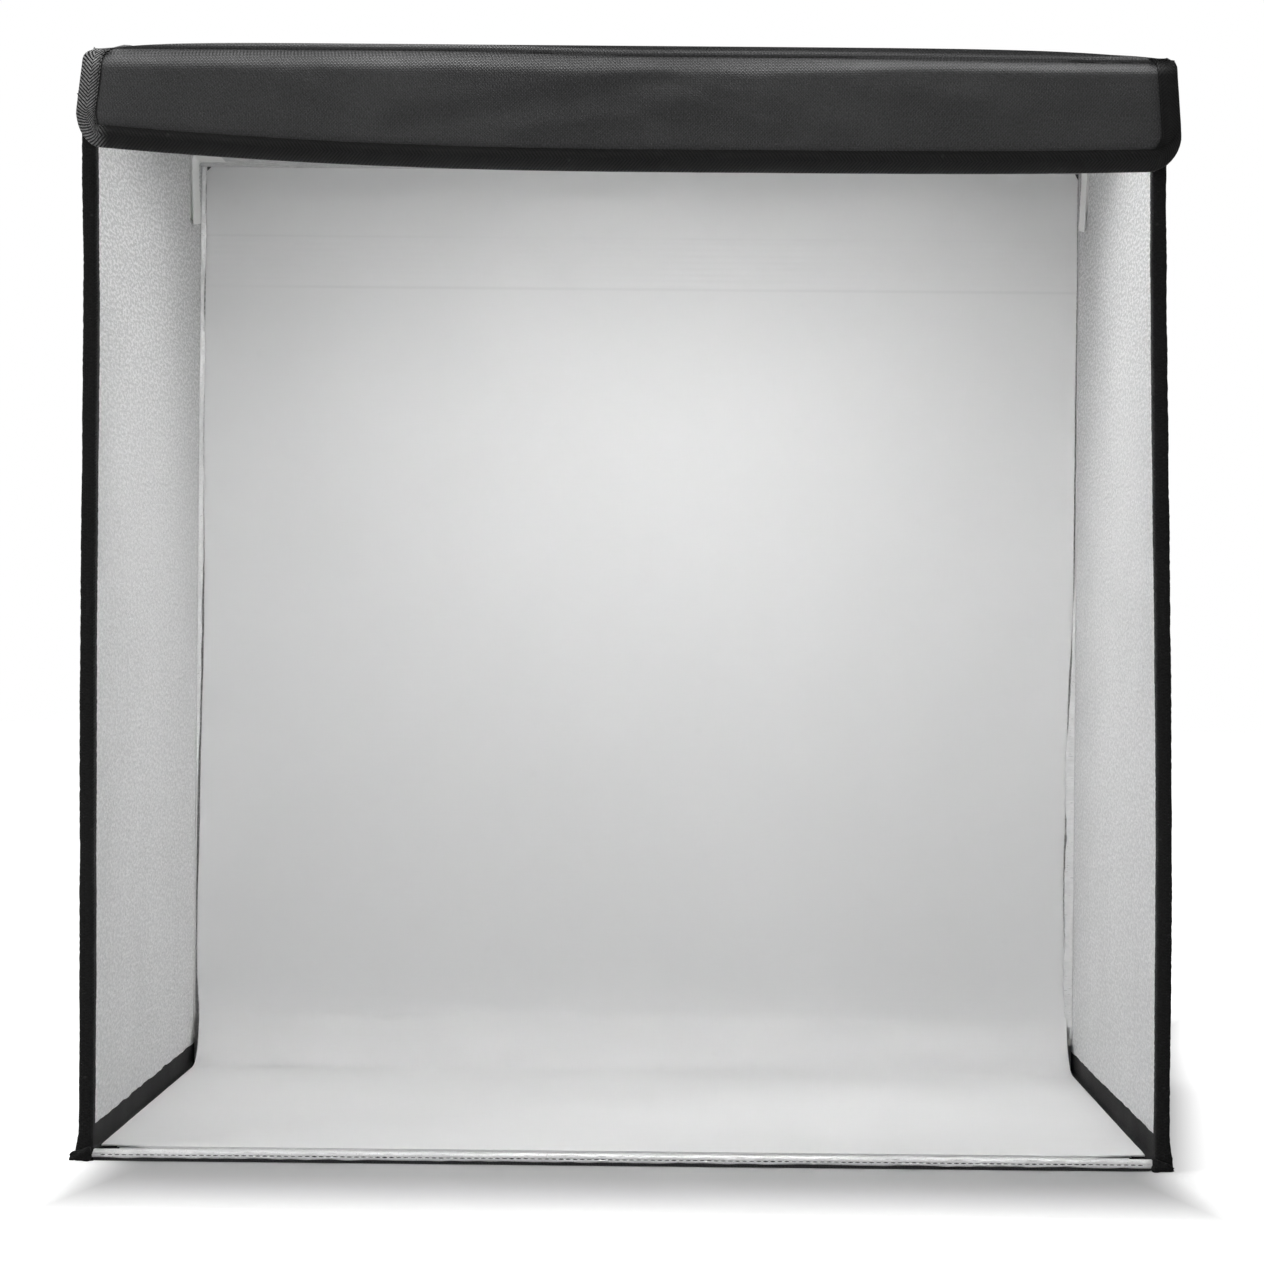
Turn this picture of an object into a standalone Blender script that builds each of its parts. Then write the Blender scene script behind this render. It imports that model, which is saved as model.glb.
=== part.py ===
"""Folding light tent cube with ceiling light bars, a front valance flap and a sweep backdrop.

Metres, +Z up. The origin is the middle of the floor panel's underside and the open front faces -Y.
Every panel is a pouch: a black nylon skin folded round a board, closed by a silver lining.
"""

import math

import bmesh
import bpy
from mathutils import Matrix, Vector

MM = 0.001

# The cube, over its panels
CUBE_WIDTH = 600 * MM
CUBE_DEPTH = 600 * MM
WALL_HEIGHT = 607 * MM

# Clearances between pieces
FIT_GAP = 0.3 * MM
SHEET_SIDE_CLEARANCE = 2.2 * MM
CUT_OVERRUN = 2 * MM

# The layers of a panel, from the outside in
SKIN = 0.6 * MM
BOARD = 3.6 * MM
LINING = 0.5 * MM
PANEL = SKIN + FIT_GAP + BOARD + FIT_GAP + LINING

# Tapes and hems
BINDING_TAPE = 0.7 * MM
BINDING_LEG = 11 * MM
HINGE_TAPE = 0.7 * MM
HINGE_WALL_LEG = 17 * MM
HINGE_FLOOR_LEG = 12 * MM
LINING_HEM = 0.5 * MM
LINING_HEM_LEG = 8 * MM
FRONT_HEM_LEG = 8 * MM
SKIN_SHOWING_UNDER_HEM = 1.6 * MM
ROOF_HINGE_LEG = 24 * MM

# Folded fabric ears at the floor's front corners
EAR_WIDTH = 15 * MM
EAR_REACH = 7 * MM
EAR_HEIGHT = 8 * MM
EAR_OUTSIDE_CUBE = 6 * MM
EAR_ROUNDING = 2.4 * MM

# Backdrop sheet, its hook strip and the loop strip on the back panel
SHEET = 0.8 * MM
SWEEP_RADIUS = 55 * MM
SWEEP_STEPS = 12
SHEET_FRONT_SETBACK = 18 * MM
SHEET_TOP_CLEARANCE = 1.2 * MM
HEADER_HEIGHT = 34 * MM
HEADER_BELOW_CEILING = 46 * MM
HEADER_END_SETBACK = 4 * MM
HOOK_AND_LOOP = 1.0 * MM

# White hook tabs from the ceiling to the side walls
TAB = 0.8 * MM
TAB_WIDTH = 46 * MM
TAB_DROP = 41 * MM
TAB_CEILING_LEG = 18 * MM
TAB_FROM_BACK = 66 * MM

# Light bars
BAR_LENGTH = 520 * MM
BAR_WIDTH = 22 * MM
CHANNEL_HEIGHT = 10 * MM
CHANNEL_WALL = 1.2 * MM
CIRCUIT_WIDTH = 18 * MM
CIRCUIT = 1.0 * MM
LED_LENGTH = 3.5 * MM
LED_WIDTH = 2.8 * MM
LED_HEIGHT = 0.8 * MM
LEDS_A_BAR = 36
DIFFUSER_WALL = 1.2 * MM
DIFFUSER_BULGE = 3.2 * MM
DIFFUSER_LIP = 2.5 * MM
DIFFUSER_STEPS = 8
END_CAP = 3 * MM
INLET_RADIUS = 3.0 * MM
INLET_LENGTH = 9 * MM
INLET_BORE_RADIUS = 1.9 * MM
INLET_BORE_DEPTH = 7.5 * MM
INLET_PIN_RADIUS = 0.65 * MM
INLET_PIN_LENGTH = 6 * MM
INLET_STEPS = 20
FRONT_BAR_FROM_FRONT = 150 * MM
REAR_BAR_FROM_FRONT = 320 * MM
LOOP_STRIP_WIDTH = 25 * MM
LOOP_STRIP_LENGTH = 300 * MM
LOOP_STRIP_FROM_FRONT = 110 * MM
LOOP_STRIP_OFFSET = 180 * MM
HOOK_PAD_DEPTH = 18 * MM

# Front flap: cover, foam, backing and binding, bulged forwards
FLAP_SIDE_OVERHANG = 4 * MM
FLAP_WIDTH = CUBE_WIDTH + 2 * FLAP_SIDE_OVERHANG
FLAP_DROP = 55.5 * MM
FLAP_SAG = 8.5 * MM
FLAP_BULGE = 7 * MM
FLAP_COVER = 0.8 * MM
FLAP_FOAM = 2.4 * MM
FLAP_BACKING = 0.6 * MM
FLAP_CORNER_RADIUS = 14 * MM
FLAP_THICKNESS = FLAP_COVER + FIT_GAP + FLAP_FOAM + FIT_GAP + FLAP_BACKING
FLAP_COLUMNS = 16
FLAP_CORNER_STEPS = 5
FLAP_ROWS = 9
FLAP_ROW_SPACING = 1.5
FLAP_BINDING_GAP = 0.5 * MM
BINDING_LEG_STEPS = 3
FLAP_BULGE_REACH_SHARE = 0.85
FLAP_BULGE_POWER = 4
SLOPE_STEP = 1.0 * MM

# Padded hem that carries the flap along the top panel's front edge
HEM_COVER = 0.8 * MM
HEM_DEPTH = 24 * MM
HEM_ARCH = 5.5 * MM
HEM_ARCH_POWER = 7
HEM_LIP = 3.5 * MM
HEM_COLUMNS = 16
HEM_ROWS = 6
HEM_RIDGE_SHARE = 0.3

# Places that follow from the sizes above
HALF_WIDTH = CUBE_WIDTH / 2
HALF_DEPTH = CUBE_DEPTH / 2
INNER_HALF_WIDTH = HALF_WIDTH - PANEL
TAPE_FACE_HALF_WIDTH = INNER_HALF_WIDTH - FIT_GAP - HINGE_TAPE
BINDING_FACE_HALF_WIDTH = INNER_HALF_WIDTH - FIT_GAP - BINDING_TAPE
FLOOR_HALF_WIDTH = min(TAPE_FACE_HALF_WIDTH, BINDING_FACE_HALF_WIDTH) - FIT_GAP
BACK_FACE = HALF_DEPTH - PANEL
WALL_BACK = BACK_FACE - FIT_GAP - LINING_HEM - FIT_GAP
CEILING = WALL_HEIGHT + FIT_GAP
ROOF = CEILING + PANEL
FLOOR_TOP = PANEL
SHEET_UNDERSIDE = FLOOR_TOP + FIT_GAP + HINGE_TAPE + FIT_GAP
SHEET_HALF_WIDTH = TAPE_FACE_HALF_WIDTH - SHEET_SIDE_CLEARANCE
SHEET_BACK = BACK_FACE - FIT_GAP - HOOK_AND_LOOP - FIT_GAP - HOOK_AND_LOOP - FIT_GAP
SHEET_TOP = CEILING - SHEET_TOP_CLEARANCE
TAB_RUN = (HALF_DEPTH - TAB_FROM_BACK - TAB_WIDTH / 2, HALF_DEPTH - TAB_FROM_BACK + TAB_WIDTH / 2)
HEADER_TOP = CEILING - HEADER_BELOW_CEILING
HEADER_LOW = HEADER_TOP - HEADER_HEIGHT
BAR_TOP = CEILING - FIT_GAP - HOOK_AND_LOOP - FIT_GAP - HOOK_AND_LOOP - FIT_GAP
FLAP_BACK = HALF_DEPTH + FIT_GAP + HEM_COVER + FIT_GAP + FLAP_BINDING_GAP + BINDING_TAPE
FLAP_FACE = FLAP_BACK + FLAP_THICKNESS
FLAP_TOP = ROOF + FIT_GAP + HEM_COVER
FLAP_LOW = FLAP_TOP - FLAP_DROP

# Joint axes: each panel opens about the outer edge of what wraps it
WALL_HINGE_OUT = HALF_WIDTH + FIT_GAP + BINDING_TAPE
BACK_HINGE_OUT = HALF_DEPTH + FIT_GAP + HINGE_TAPE
ROOF_HINGE_HEIGHT = ROOF + FIT_GAP + HINGE_TAPE
FLAP_HINGE_OUT = FLAP_FACE + FLAP_BINDING_GAP + BINDING_TAPE
FLAP_HINGE_HEIGHT = FLAP_TOP + HEM_ARCH

AXIS_X = Vector((1, 0, 0))
AXIS_Y = Vector((0, 1, 0))
AXIS_Z = Vector((0, 0, 1))


def new_collection(name):
    """A collection of that name in the scene."""
    collection = bpy.data.collections.new(name)
    bpy.context.scene.collection.children.link(collection)
    return collection


def new_material(name, colour, roughness, metallic=0.0):
    """A Principled BSDF material."""
    material = bpy.data.materials.new(name)
    material.use_nodes = True
    shader = material.node_tree.nodes["Principled BSDF"]
    shader.inputs["Base Color"].default_value = (*colour, 1.0)
    shader.inputs["Roughness"].default_value = roughness
    shader.inputs["Metallic"].default_value = metallic
    return material


def frame_of(across, up, origin):
    """A frame whose X is across, Y is up and Z is their cross product, as a matrix."""
    inward = across.cross(up)
    return Matrix.Translation(origin) @ Matrix((across, up, inward)).transposed().to_4x4()


def add_object(name, bm, material, frame, collection, smooth=False):
    """Puts a bmesh in the scene as an object of that name, placed by the frame."""
    mesh = bpy.data.meshes.new(name)
    bm.to_mesh(mesh)
    bm.free()
    if smooth:
        mesh.shade_smooth()
    obj = bpy.data.objects.new(name, mesh)
    obj.data.materials.append(material)
    obj.matrix_world = frame
    collection.objects.link(obj)
    return obj


def add_box(bm, low, high):
    """Adds a box between two corners to a bmesh."""
    low, high = Vector(low), Vector(high)
    size, centre = high - low, (low + high) / 2
    place = Matrix.Translation(centre) @ Matrix.Diagonal((*size, 1))
    bmesh.ops.create_cube(bm, size=1, matrix=place)


def block(name, low, high, material, frame, collection):
    """A plain block between two corners in the frame's axes."""
    bm = bmesh.new()
    add_box(bm, low, high)
    return add_object(name, bm, material, frame, collection)


def solidify(obj, thickness, side):
    """Gives an open surface its wall. Side 1 grows it along the normals and -1 against them.

    A side above 1 leaves a gap between the surface and the wall.
    """
    modifier = obj.modifiers.new("Wall", "SOLIDIFY")
    modifier.thickness = thickness
    modifier.offset = side
    modifier.use_even_offset = True
    return modifier


def shaped_grid(name, columns, rows, place, thickness, side, material, frame, collection, smooth=False):
    """A grid whose points place(column, row) sets, thickened to a sheet."""
    bm = bmesh.new()
    bmesh.ops.create_grid(bm, x_segments=columns, y_segments=rows, size=1)
    for vertex in bm.verts:
        column = round((vertex.co.x + 1) / 2 * columns)
        row = round((vertex.co.y + 1) / 2 * rows)
        vertex.co = place(column, row)
    obj = add_object(name, bm, material, frame, collection, smooth)
    solidify(obj, thickness, side)
    return obj


def folded_strip(name, section, run, thickness, side, material, frame, collection):
    """A strip of one folded section. Its points are (frame Y, frame Z) and its run is along frame X."""
    bm = bmesh.new()
    near, far = ([bm.verts.new((along, *point)) for point in section] for along in run)
    for index in range(len(section) - 1):
        bm.faces.new((near[index], far[index], far[index + 1], near[index + 1]))
    obj = add_object(name, bm, material, frame, collection)
    solidify(obj, thickness, side)
    return obj


def combine(obj, tool, operation):
    """Cuts a tool object out of an object, or joins it on, and hides the tool."""
    modifier = obj.modifiers.new("Combine", "BOOLEAN")
    modifier.operation = operation
    modifier.solver = "EXACT"
    modifier.object = tool
    tool.hide_render = True
    tool.display_type = "WIRE"


def panel(name, width, height, frame, materials, collection):
    """A pouch panel. The frame's origin is the middle of the outer face and its Z points inwards."""
    half_width, half_height = width / 2, height / 2
    bm = bmesh.new()
    add_box(bm, (-half_width, -half_height, 0), (half_width, half_height, PANEL))
    open_face = max(bm.faces, key=lambda face: face.calc_center_median().z)
    bmesh.ops.delete(bm, geom=[open_face], context="FACES_ONLY")
    skin = add_object(f"{name}_outer_skin", bm, materials["nylon"], frame, collection)
    solidify(skin, SKIN, -1)
    inset = SKIN + FIT_GAP
    inner = (half_width - inset, half_height - inset)
    board_low = SKIN + FIT_GAP
    board_high = board_low + BOARD
    lining_low = board_high + FIT_GAP
    for layer, low, high, material in (
        ("board", board_low, board_high, "board"),
        ("lining", lining_low, PANEL, "silver"),
    ):
        near, far = (-inner[0], -inner[1], low), (inner[0], inner[1], high)
        block(f"{name}_{layer}", near, far, materials[material], frame, collection)


def floor(materials, collection):
    """The floor panel with its silver front hem, the three inside hinge tapes and the corner ears."""
    width = 2 * FLOOR_HALF_WIDTH
    depth = HALF_DEPTH + BACK_FACE - FIT_GAP
    middle = Vector((0, (BACK_FACE - FIT_GAP - HALF_DEPTH) / 2, 0))
    panel("floor", width, depth, frame_of(AXIS_X, AXIS_Y, middle), materials, collection)

    top, front = FLOOR_TOP + FIT_GAP, -HALF_DEPTH - FIT_GAP
    section = [
        (front + FRONT_HEM_LEG, top),
        (front, top),
        (front, SKIN_SHOWING_UNDER_HEM),
    ]
    run = (-FLOOR_HALF_WIDTH, FLOOR_HALF_WIDTH)
    frame = frame_of(AXIS_X, AXIS_Y, Vector())
    folded_strip("floor_front_hem", section, run, LINING_HEM, -1, materials["silver"], frame, collection)

    for side, hand in ((-1, "left"), (1, "right")):
        across = INNER_HALF_WIDTH - FIT_GAP
        section = [
            (side * across, top + HINGE_WALL_LEG),
            (side * across, top),
            (side * (across - HINGE_FLOOR_LEG), top),
        ]
        start = -HALF_DEPTH + BINDING_LEG + FIT_GAP
        run = (start, BACK_FACE - FIT_GAP)
        # Here frame X runs back, frame Y across and frame Z down
        turned = frame_of(AXIS_Y, AXIS_X, Vector())
        section = [(place, -height) for place, height in section]
        folded_strip(
            f"{hand}_hinge_tape", section, run, HINGE_TAPE, side, materials["tape"], turned, collection
        )

    back = BACK_FACE - FIT_GAP
    section = [(back, top + HINGE_WALL_LEG), (back, top), (back - HINGE_FLOOR_LEG, top)]
    reach = INNER_HALF_WIDTH - FIT_GAP - HINGE_FLOOR_LEG - FIT_GAP
    folded_strip(
        "rear_hinge_tape", section, (-reach, reach), HINGE_TAPE, -1, materials["tape"], frame, collection
    )

    near = -HALF_DEPTH - FIT_GAP - max(LINING_HEM, BINDING_TAPE) - FIT_GAP
    outer = HALF_WIDTH + EAR_OUTSIDE_CUBE
    for side, hand in ((-1, "left"), (1, "right")):
        ends = sorted((side * outer, side * (outer - EAR_WIDTH)))
        low, high = (ends[0], near - EAR_REACH, 0), (ends[1], near, EAR_HEIGHT)
        ear = block(f"{hand}_corner_ear", low, high, materials["tape"], Matrix.Identity(4), collection)
        bevel = ear.modifiers.new("Rounding", "BEVEL")
        bevel.width = EAR_ROUNDING
        bevel.segments = 2


def side_wall(hand, side, materials, collection):
    """A side wall panel with its front binding, its silver back hem and its loop pads."""
    depth = HALF_DEPTH + WALL_BACK
    middle = Vector((side * HALF_WIDTH, (WALL_BACK - HALF_DEPTH) / 2, WALL_HEIGHT / 2))
    frame = frame_of(-side * AXIS_Y, AXIS_Z, middle)
    panel(f"{hand}_wall", depth, WALL_HEIGHT, frame, materials, collection)

    # Upright strips: frame X runs up, frame Y inwards from the wall's outer face
    upright = frame_of(AXIS_Z, -side * AXIS_X, Vector((side * HALF_WIDTH, 0, 0)))
    outer, inner = -FIT_GAP, PANEL + FIT_GAP
    facing = upright.to_3x3().inverted() @ AXIS_Y
    back_sign = 1 if facing.z > 0 else -1

    def upright_strip(name, edge, leg, run, thickness, direction, material):
        points = [
            (outer, back_sign * (edge - direction * leg)),
            (outer, back_sign * edge),
            (inner, back_sign * edge),
            (inner, back_sign * (edge - direction * leg)),
        ]
        turn = back_sign * direction
        folded_strip(name, points, run, thickness, turn, material, upright, collection)

    upright_strip(
        f"{hand}_wall_binding",
        -HALF_DEPTH - FIT_GAP,
        BINDING_LEG,
        (0, WALL_HEIGHT),
        BINDING_TAPE,
        -1,
        materials["tape"],
    )
    hem_low = FLOOR_TOP + FIT_GAP + HINGE_WALL_LEG + FIT_GAP
    upright_strip(
        f"{hand}_wall_back_hem",
        WALL_BACK + FIT_GAP,
        LINING_HEM_LEG,
        (hem_low, WALL_HEIGHT),
        LINING_HEM,
        1,
        materials["silver"],
    )

    face = INNER_HALF_WIDTH - FIT_GAP
    across = sorted((side * face, side * (face - TAB)))
    start, end = TAB_RUN
    low, high = (across[0], start, WALL_HEIGHT - TAB_DROP), (across[1], end, WALL_HEIGHT)
    block(f"{hand}_wall_loop_pad", low, high, materials["hook"], Matrix.Identity(4), collection)


def back_panel(materials, collection):
    """The back panel, its loop strip, the backdrop with its hook strip and the roof tape's back leg."""
    middle = Vector((0, HALF_DEPTH, WALL_HEIGHT / 2))
    frame = frame_of(AXIS_X, AXIS_Z, middle)
    panel("back", CUBE_WIDTH, WALL_HEIGHT, frame, materials, collection)

    half = SHEET_HALF_WIDTH - HEADER_END_SETBACK
    loop_back = BACK_FACE - FIT_GAP
    hook_back = loop_back - HOOK_AND_LOOP - FIT_GAP
    for name, back in (("back_loop_strip", loop_back), ("backdrop_hook_strip", hook_back)):
        low, high = (-half, back - HOOK_AND_LOOP, HEADER_LOW), (half, back, HEADER_TOP)
        block(name, low, high, materials["hook"], Matrix.Identity(4), collection)

    centre = Vector((0, SHEET_BACK - SWEEP_RADIUS, SHEET_UNDERSIDE + SWEEP_RADIUS))
    profile = [(-HALF_DEPTH + SHEET_FRONT_SETBACK, SHEET_UNDERSIDE)]
    for step in range(SWEEP_STEPS + 1):
        angle = math.pi / 2 * step / SWEEP_STEPS
        profile.append(
            (centre.y + SWEEP_RADIUS * math.sin(angle), centre.z - SWEEP_RADIUS * math.cos(angle))
        )
    profile.append((SHEET_BACK, SHEET_TOP))
    folded_strip(
        "backdrop_sheet",
        profile,
        (-SHEET_HALF_WIDTH, SHEET_HALF_WIDTH),
        SHEET,
        1,
        materials["backdrop"],
        frame_of(AXIS_X, AXIS_Y, Vector()),
        collection,
    )

    outside, above = HALF_DEPTH + FIT_GAP, ROOF + FIT_GAP + HINGE_TAPE
    low, high = (-HALF_WIDTH, outside, above - ROOF_HINGE_LEG), (HALF_WIDTH, outside + HINGE_TAPE, above)
    world = Matrix.Identity(4)
    block("roof_hinge_tape_back_leg", low, high, materials["nylon"], world, collection)


def top_panel(materials, collection):
    """The top panel with its hook tabs, ceiling loop strips and the padded hem that carries the flap."""
    frame = frame_of(AXIS_X, -AXIS_Y, Vector((0, 0, ROOF)))
    panel("top", CUBE_WIDTH, CUBE_DEPTH, frame, materials, collection)

    for side, hand in ((-1, "left"), (1, "right")):
        face = side * (INNER_HALF_WIDTH - FIT_GAP - TAB - FIT_GAP)
        under = CEILING - FIT_GAP
        section = [(face, TAB_DROP - WALL_HEIGHT), (face, -under), (face - side * TAB_CEILING_LEG, -under)]
        turned = frame_of(AXIS_Y, AXIS_X, Vector())
        name = f"{hand}_hook_tab"
        folded_strip(name, section, TAB_RUN, TAB, -side, materials["hook"], turned, collection)

        middle, start = side * LOOP_STRIP_OFFSET, -HALF_DEPTH + LOOP_STRIP_FROM_FRONT
        low = (middle - LOOP_STRIP_WIDTH / 2, start, under - HOOK_AND_LOOP)
        high = (middle + LOOP_STRIP_WIDTH / 2, start + LOOP_STRIP_LENGTH, under)
        name = f"{hand}_ceiling_loop_strip"
        block(name, low, high, materials["hook"], Matrix.Identity(4), collection)

    above = ROOF + FIT_GAP
    low = (-HALF_WIDTH, HALF_DEPTH - ROOF_HINGE_LEG, above)
    high = (HALF_WIDTH, HALF_DEPTH, above + HINGE_TAPE)
    block("roof_hinge_tape_top_leg", low, high, materials["nylon"], Matrix.Identity(4), collection)

    def place(column, row):
        across = HALF_WIDTH * (2 * column / HEM_COLUMNS - 1)
        base, front = ROOF + FIT_GAP, -HALF_DEPTH - FIT_GAP
        if row == 0:
            return Vector((across, front, base - HEM_LIP))
        back_share = (row - 1) / (HEM_ROWS - 1)
        rise = roll_arch(across) * hem_rise(back_share)
        return Vector((across, front + HEM_DEPTH * back_share, base + rise))

    shaped_grid(
        "flap_hinge_hem",
        HEM_COLUMNS,
        HEM_ROWS,
        place,
        HEM_COVER,
        1,
        materials["nylon"],
        Matrix.Identity(4),
        collection,
    )


def roll_arch(across):
    """How far the padded front edge rises at a distance across from its middle."""
    share = min(abs(across) / (FLAP_WIDTH / 2), 1)
    return HEM_ARCH * (1 - share**HEM_ARCH_POWER)


def hem_rise(back_share):
    """The share of the hem's arch at a share of its depth from the front: full near its front edge."""
    if back_share <= HEM_RIDGE_SHARE:
        return 1.0
    fall = (back_share - HEM_RIDGE_SHARE) / (1 - HEM_RIDGE_SHARE)
    return 0.5 + 0.5 * math.cos(math.pi * fall)


def light_bar(place_name, from_front, materials, collection):
    """A light bar under the ceiling: channel, LED strip, diffuser, end caps, inlet and hook pads."""
    name = f"{place_name}_light"
    middle = Vector((0, -HALF_DEPTH + from_front, BAR_TOP))
    frame = frame_of(AXIS_X, AXIS_Y, middle)
    half_length, half_width = BAR_LENGTH / 2, BAR_WIDTH / 2
    run = (-half_length, half_length)

    section = [
        (-half_width, -CHANNEL_HEIGHT),
        (-half_width, 0),
        (half_width, 0),
        (half_width, -CHANNEL_HEIGHT),
    ]
    folded_strip(
        f"{name}_channel", section, run, CHANNEL_WALL, -1, materials["aluminium"], frame, collection
    )

    led_strip(f"{name}_led_strip", -CHANNEL_WALL - FIT_GAP, materials["circuit"], frame, collection)

    lens = half_width - CHANNEL_WALL - FIT_GAP
    section = [(-lens, -CHANNEL_HEIGHT + DIFFUSER_LIP)]
    for step in range(DIFFUSER_STEPS + 1):
        angle = math.pi * step / DIFFUSER_STEPS
        section.append((-lens * math.cos(angle), -CHANNEL_HEIGHT - DIFFUSER_BULGE * math.sin(angle)))
    section.append((lens, -CHANNEL_HEIGHT + DIFFUSER_LIP))
    folded_strip(f"{name}_diffuser", section, run, DIFFUSER_WALL, 1, materials["opal"], frame, collection)

    cap_low = -CHANNEL_HEIGHT - DIFFUSER_BULGE
    for side, hand in ((-1, "left"), (1, "right")):
        start = side * (half_length + FIT_GAP)
        ends = sorted((start, start + side * END_CAP))
        low, high = (ends[0], -half_width, cap_low), (ends[1], half_width, 0)
        cap = block(f"{name}_{hand}_end_cap", low, high, materials["cap"], frame, collection)
        if side == 1:
            at_cap = middle + Vector((half_length + FIT_GAP + END_CAP / 2, 0, cap_low / 2))
            cutter = inlet_cutter(f"{name}_inlet_cutter", at_cap, materials["cap"])
            combine(cap, cutter, "DIFFERENCE")

        along = side * LOOP_STRIP_OFFSET
        low = (along - LOOP_STRIP_WIDTH / 2, -HOOK_PAD_DEPTH / 2, FIT_GAP)
        high = (along + LOOP_STRIP_WIDTH / 2, HOOK_PAD_DEPTH / 2, FIT_GAP + HOOK_AND_LOOP)
        block(f"{name}_{hand}_hook_pad", low, high, materials["hook"], frame, collection)

    inlet_start = half_length + FIT_GAP + END_CAP + FIT_GAP - INLET_LENGTH
    inlet_origin = middle + Vector((inlet_start, 0, cap_low / 2))
    inlet_frame = frame_of(AXIS_Y, AXIS_Z, inlet_origin)
    power_inlet(f"{name}_power_inlet", inlet_frame, materials["cap"], collection)


def led_strip(name, top, material, frame, collection):
    """A thin strip with a row of LED packages joined to its underside."""
    half_length, half_width, half_led = BAR_LENGTH / 2, CIRCUIT_WIDTH / 2, LED_WIDTH / 2
    low = top - CIRCUIT
    near, far = (-half_length, -half_width, low), (half_length, half_width, top)
    strip = block(name, near, far, material, frame, collection)
    pitch = BAR_LENGTH / LEDS_A_BAR
    start = -half_length + (pitch - LED_LENGTH) / 2
    near, far = (start, -half_led, low - LED_HEIGHT), (start + LED_LENGTH, half_led, low + CIRCUIT / 2)
    led = block(f"{name}_package_row", near, far, material, frame, TOOLS)
    row = led.modifiers.new("Row", "ARRAY")
    row.count = LEDS_A_BAR
    row.use_relative_offset = False
    row.use_constant_offset = True
    row.constant_offset_displace = (pitch, 0, 0)
    combine(strip, led, "UNION")


def inlet_cutter(name, place, material):
    """The round cutter for the power inlet's hole through an end cap."""
    bm = bmesh.new()
    radius, depth = INLET_RADIUS + FIT_GAP, END_CAP + 2 * CUT_OVERRUN
    bmesh.ops.create_cone(
        bm, cap_ends=True, segments=INLET_STEPS, radius1=radius, radius2=radius, depth=depth
    )
    return add_object(name, bm, material, frame_of(AXIS_Y, AXIS_Z, place), TOOLS)


def power_inlet(name, frame, material, collection):
    """A turned barrel inlet with its centre pin. The frame's Z points out of its mouth."""
    floor_height = INLET_LENGTH - INLET_BORE_DEPTH
    profile = [
        (0, floor_height + INLET_PIN_LENGTH),
        (INLET_PIN_RADIUS, floor_height + INLET_PIN_LENGTH),
        (INLET_PIN_RADIUS, floor_height),
        (INLET_BORE_RADIUS, floor_height),
        (INLET_BORE_RADIUS, INLET_LENGTH),
        (INLET_RADIUS, INLET_LENGTH),
        (INLET_RADIUS, 0),
        (0, 0),
    ]
    mesh = bpy.data.meshes.new(name)
    points = [(radius, 0, height) for radius, height in profile]
    edges = [(index, index + 1) for index in range(len(points) - 1)]
    mesh.from_pydata(points, edges, [])
    obj = bpy.data.objects.new(name, mesh)
    obj.data.materials.append(material)
    obj.matrix_world = frame
    collection.objects.link(obj)
    screw = obj.modifiers.new("Turn", "SCREW")
    screw.steps = screw.render_steps = INLET_STEPS
    screw.use_merge_vertices = True
    screw.merge_threshold = FIT_GAP / 10
    return obj


def flap_half_width_at_bottom_corner():
    """Where the flap's straight bottom edge ends and its corner begins."""
    return FLAP_WIDTH / 2 - FLAP_CORNER_RADIUS


def flap_low_edge(across):
    """The height of the flap's lower edge at a distance across from its middle."""
    straight = flap_half_width_at_bottom_corner()
    share = min(abs(across) / (FLAP_WIDTH / 2), 1)
    low = FLAP_LOW - FLAP_SAG * (1 - share**2)
    beyond = abs(across) - straight
    if beyond > 0:
        root = max(FLAP_CORNER_RADIUS**2 - beyond**2, 0)
        low += FLAP_CORNER_RADIUS - math.sqrt(root)
    return low


def flap_top_edge(across):
    """The height of the flap's upper edge at a distance across from its middle."""
    return FLAP_TOP + roll_arch(across)


def flap_front(across, height):
    """The Y of the flap's outer face at a place on it."""
    share = min(abs(across) / (FLAP_WIDTH / 2), 1)
    top, low = flap_top_edge(across), FLAP_LOW - FLAP_SAG * (1 - share**2)
    down = min(max((top - height) / (top - low), 0), 1)
    bulge = math.sin(math.pi * FLAP_BULGE_REACH_SHARE * math.sqrt(down))
    return -FLAP_FACE - FLAP_BULGE * (1 - share**FLAP_BULGE_POWER) * bulge


def flap_point(across, height, depth):
    """The point that lies a depth behind the flap's outer face, measured along that face's normal."""
    front = flap_front(across, height)
    lean_across = (flap_front(across + SLOPE_STEP, height) - front) / SLOPE_STEP
    lean_up = (flap_front(across, height - SLOPE_STEP) - front) / SLOPE_STEP
    inwards = Vector((-lean_across, 1, lean_up)).normalized()
    return Vector((across, front, height)) + depth * inwards


def flap_columns():
    """The distances across of the flap's columns, closer together in the rounded corners."""
    straight = flap_half_width_at_bottom_corner()
    middle = [straight * (2 * column / FLAP_COLUMNS - 1) for column in range(FLAP_COLUMNS + 1)]
    corner = [
        straight + FLAP_CORNER_RADIUS * math.sin(math.pi / 2 * step / FLAP_CORNER_STEPS)
        for step in range(1, FLAP_CORNER_STEPS + 1)
    ]
    return [-across for across in reversed(corner)] + middle + corner


def flap_share(row):
    """The share of the flap's drop at a row. The rows lie closer together where the top edge turns."""
    return (row / FLAP_ROWS) ** FLAP_ROW_SPACING


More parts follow.
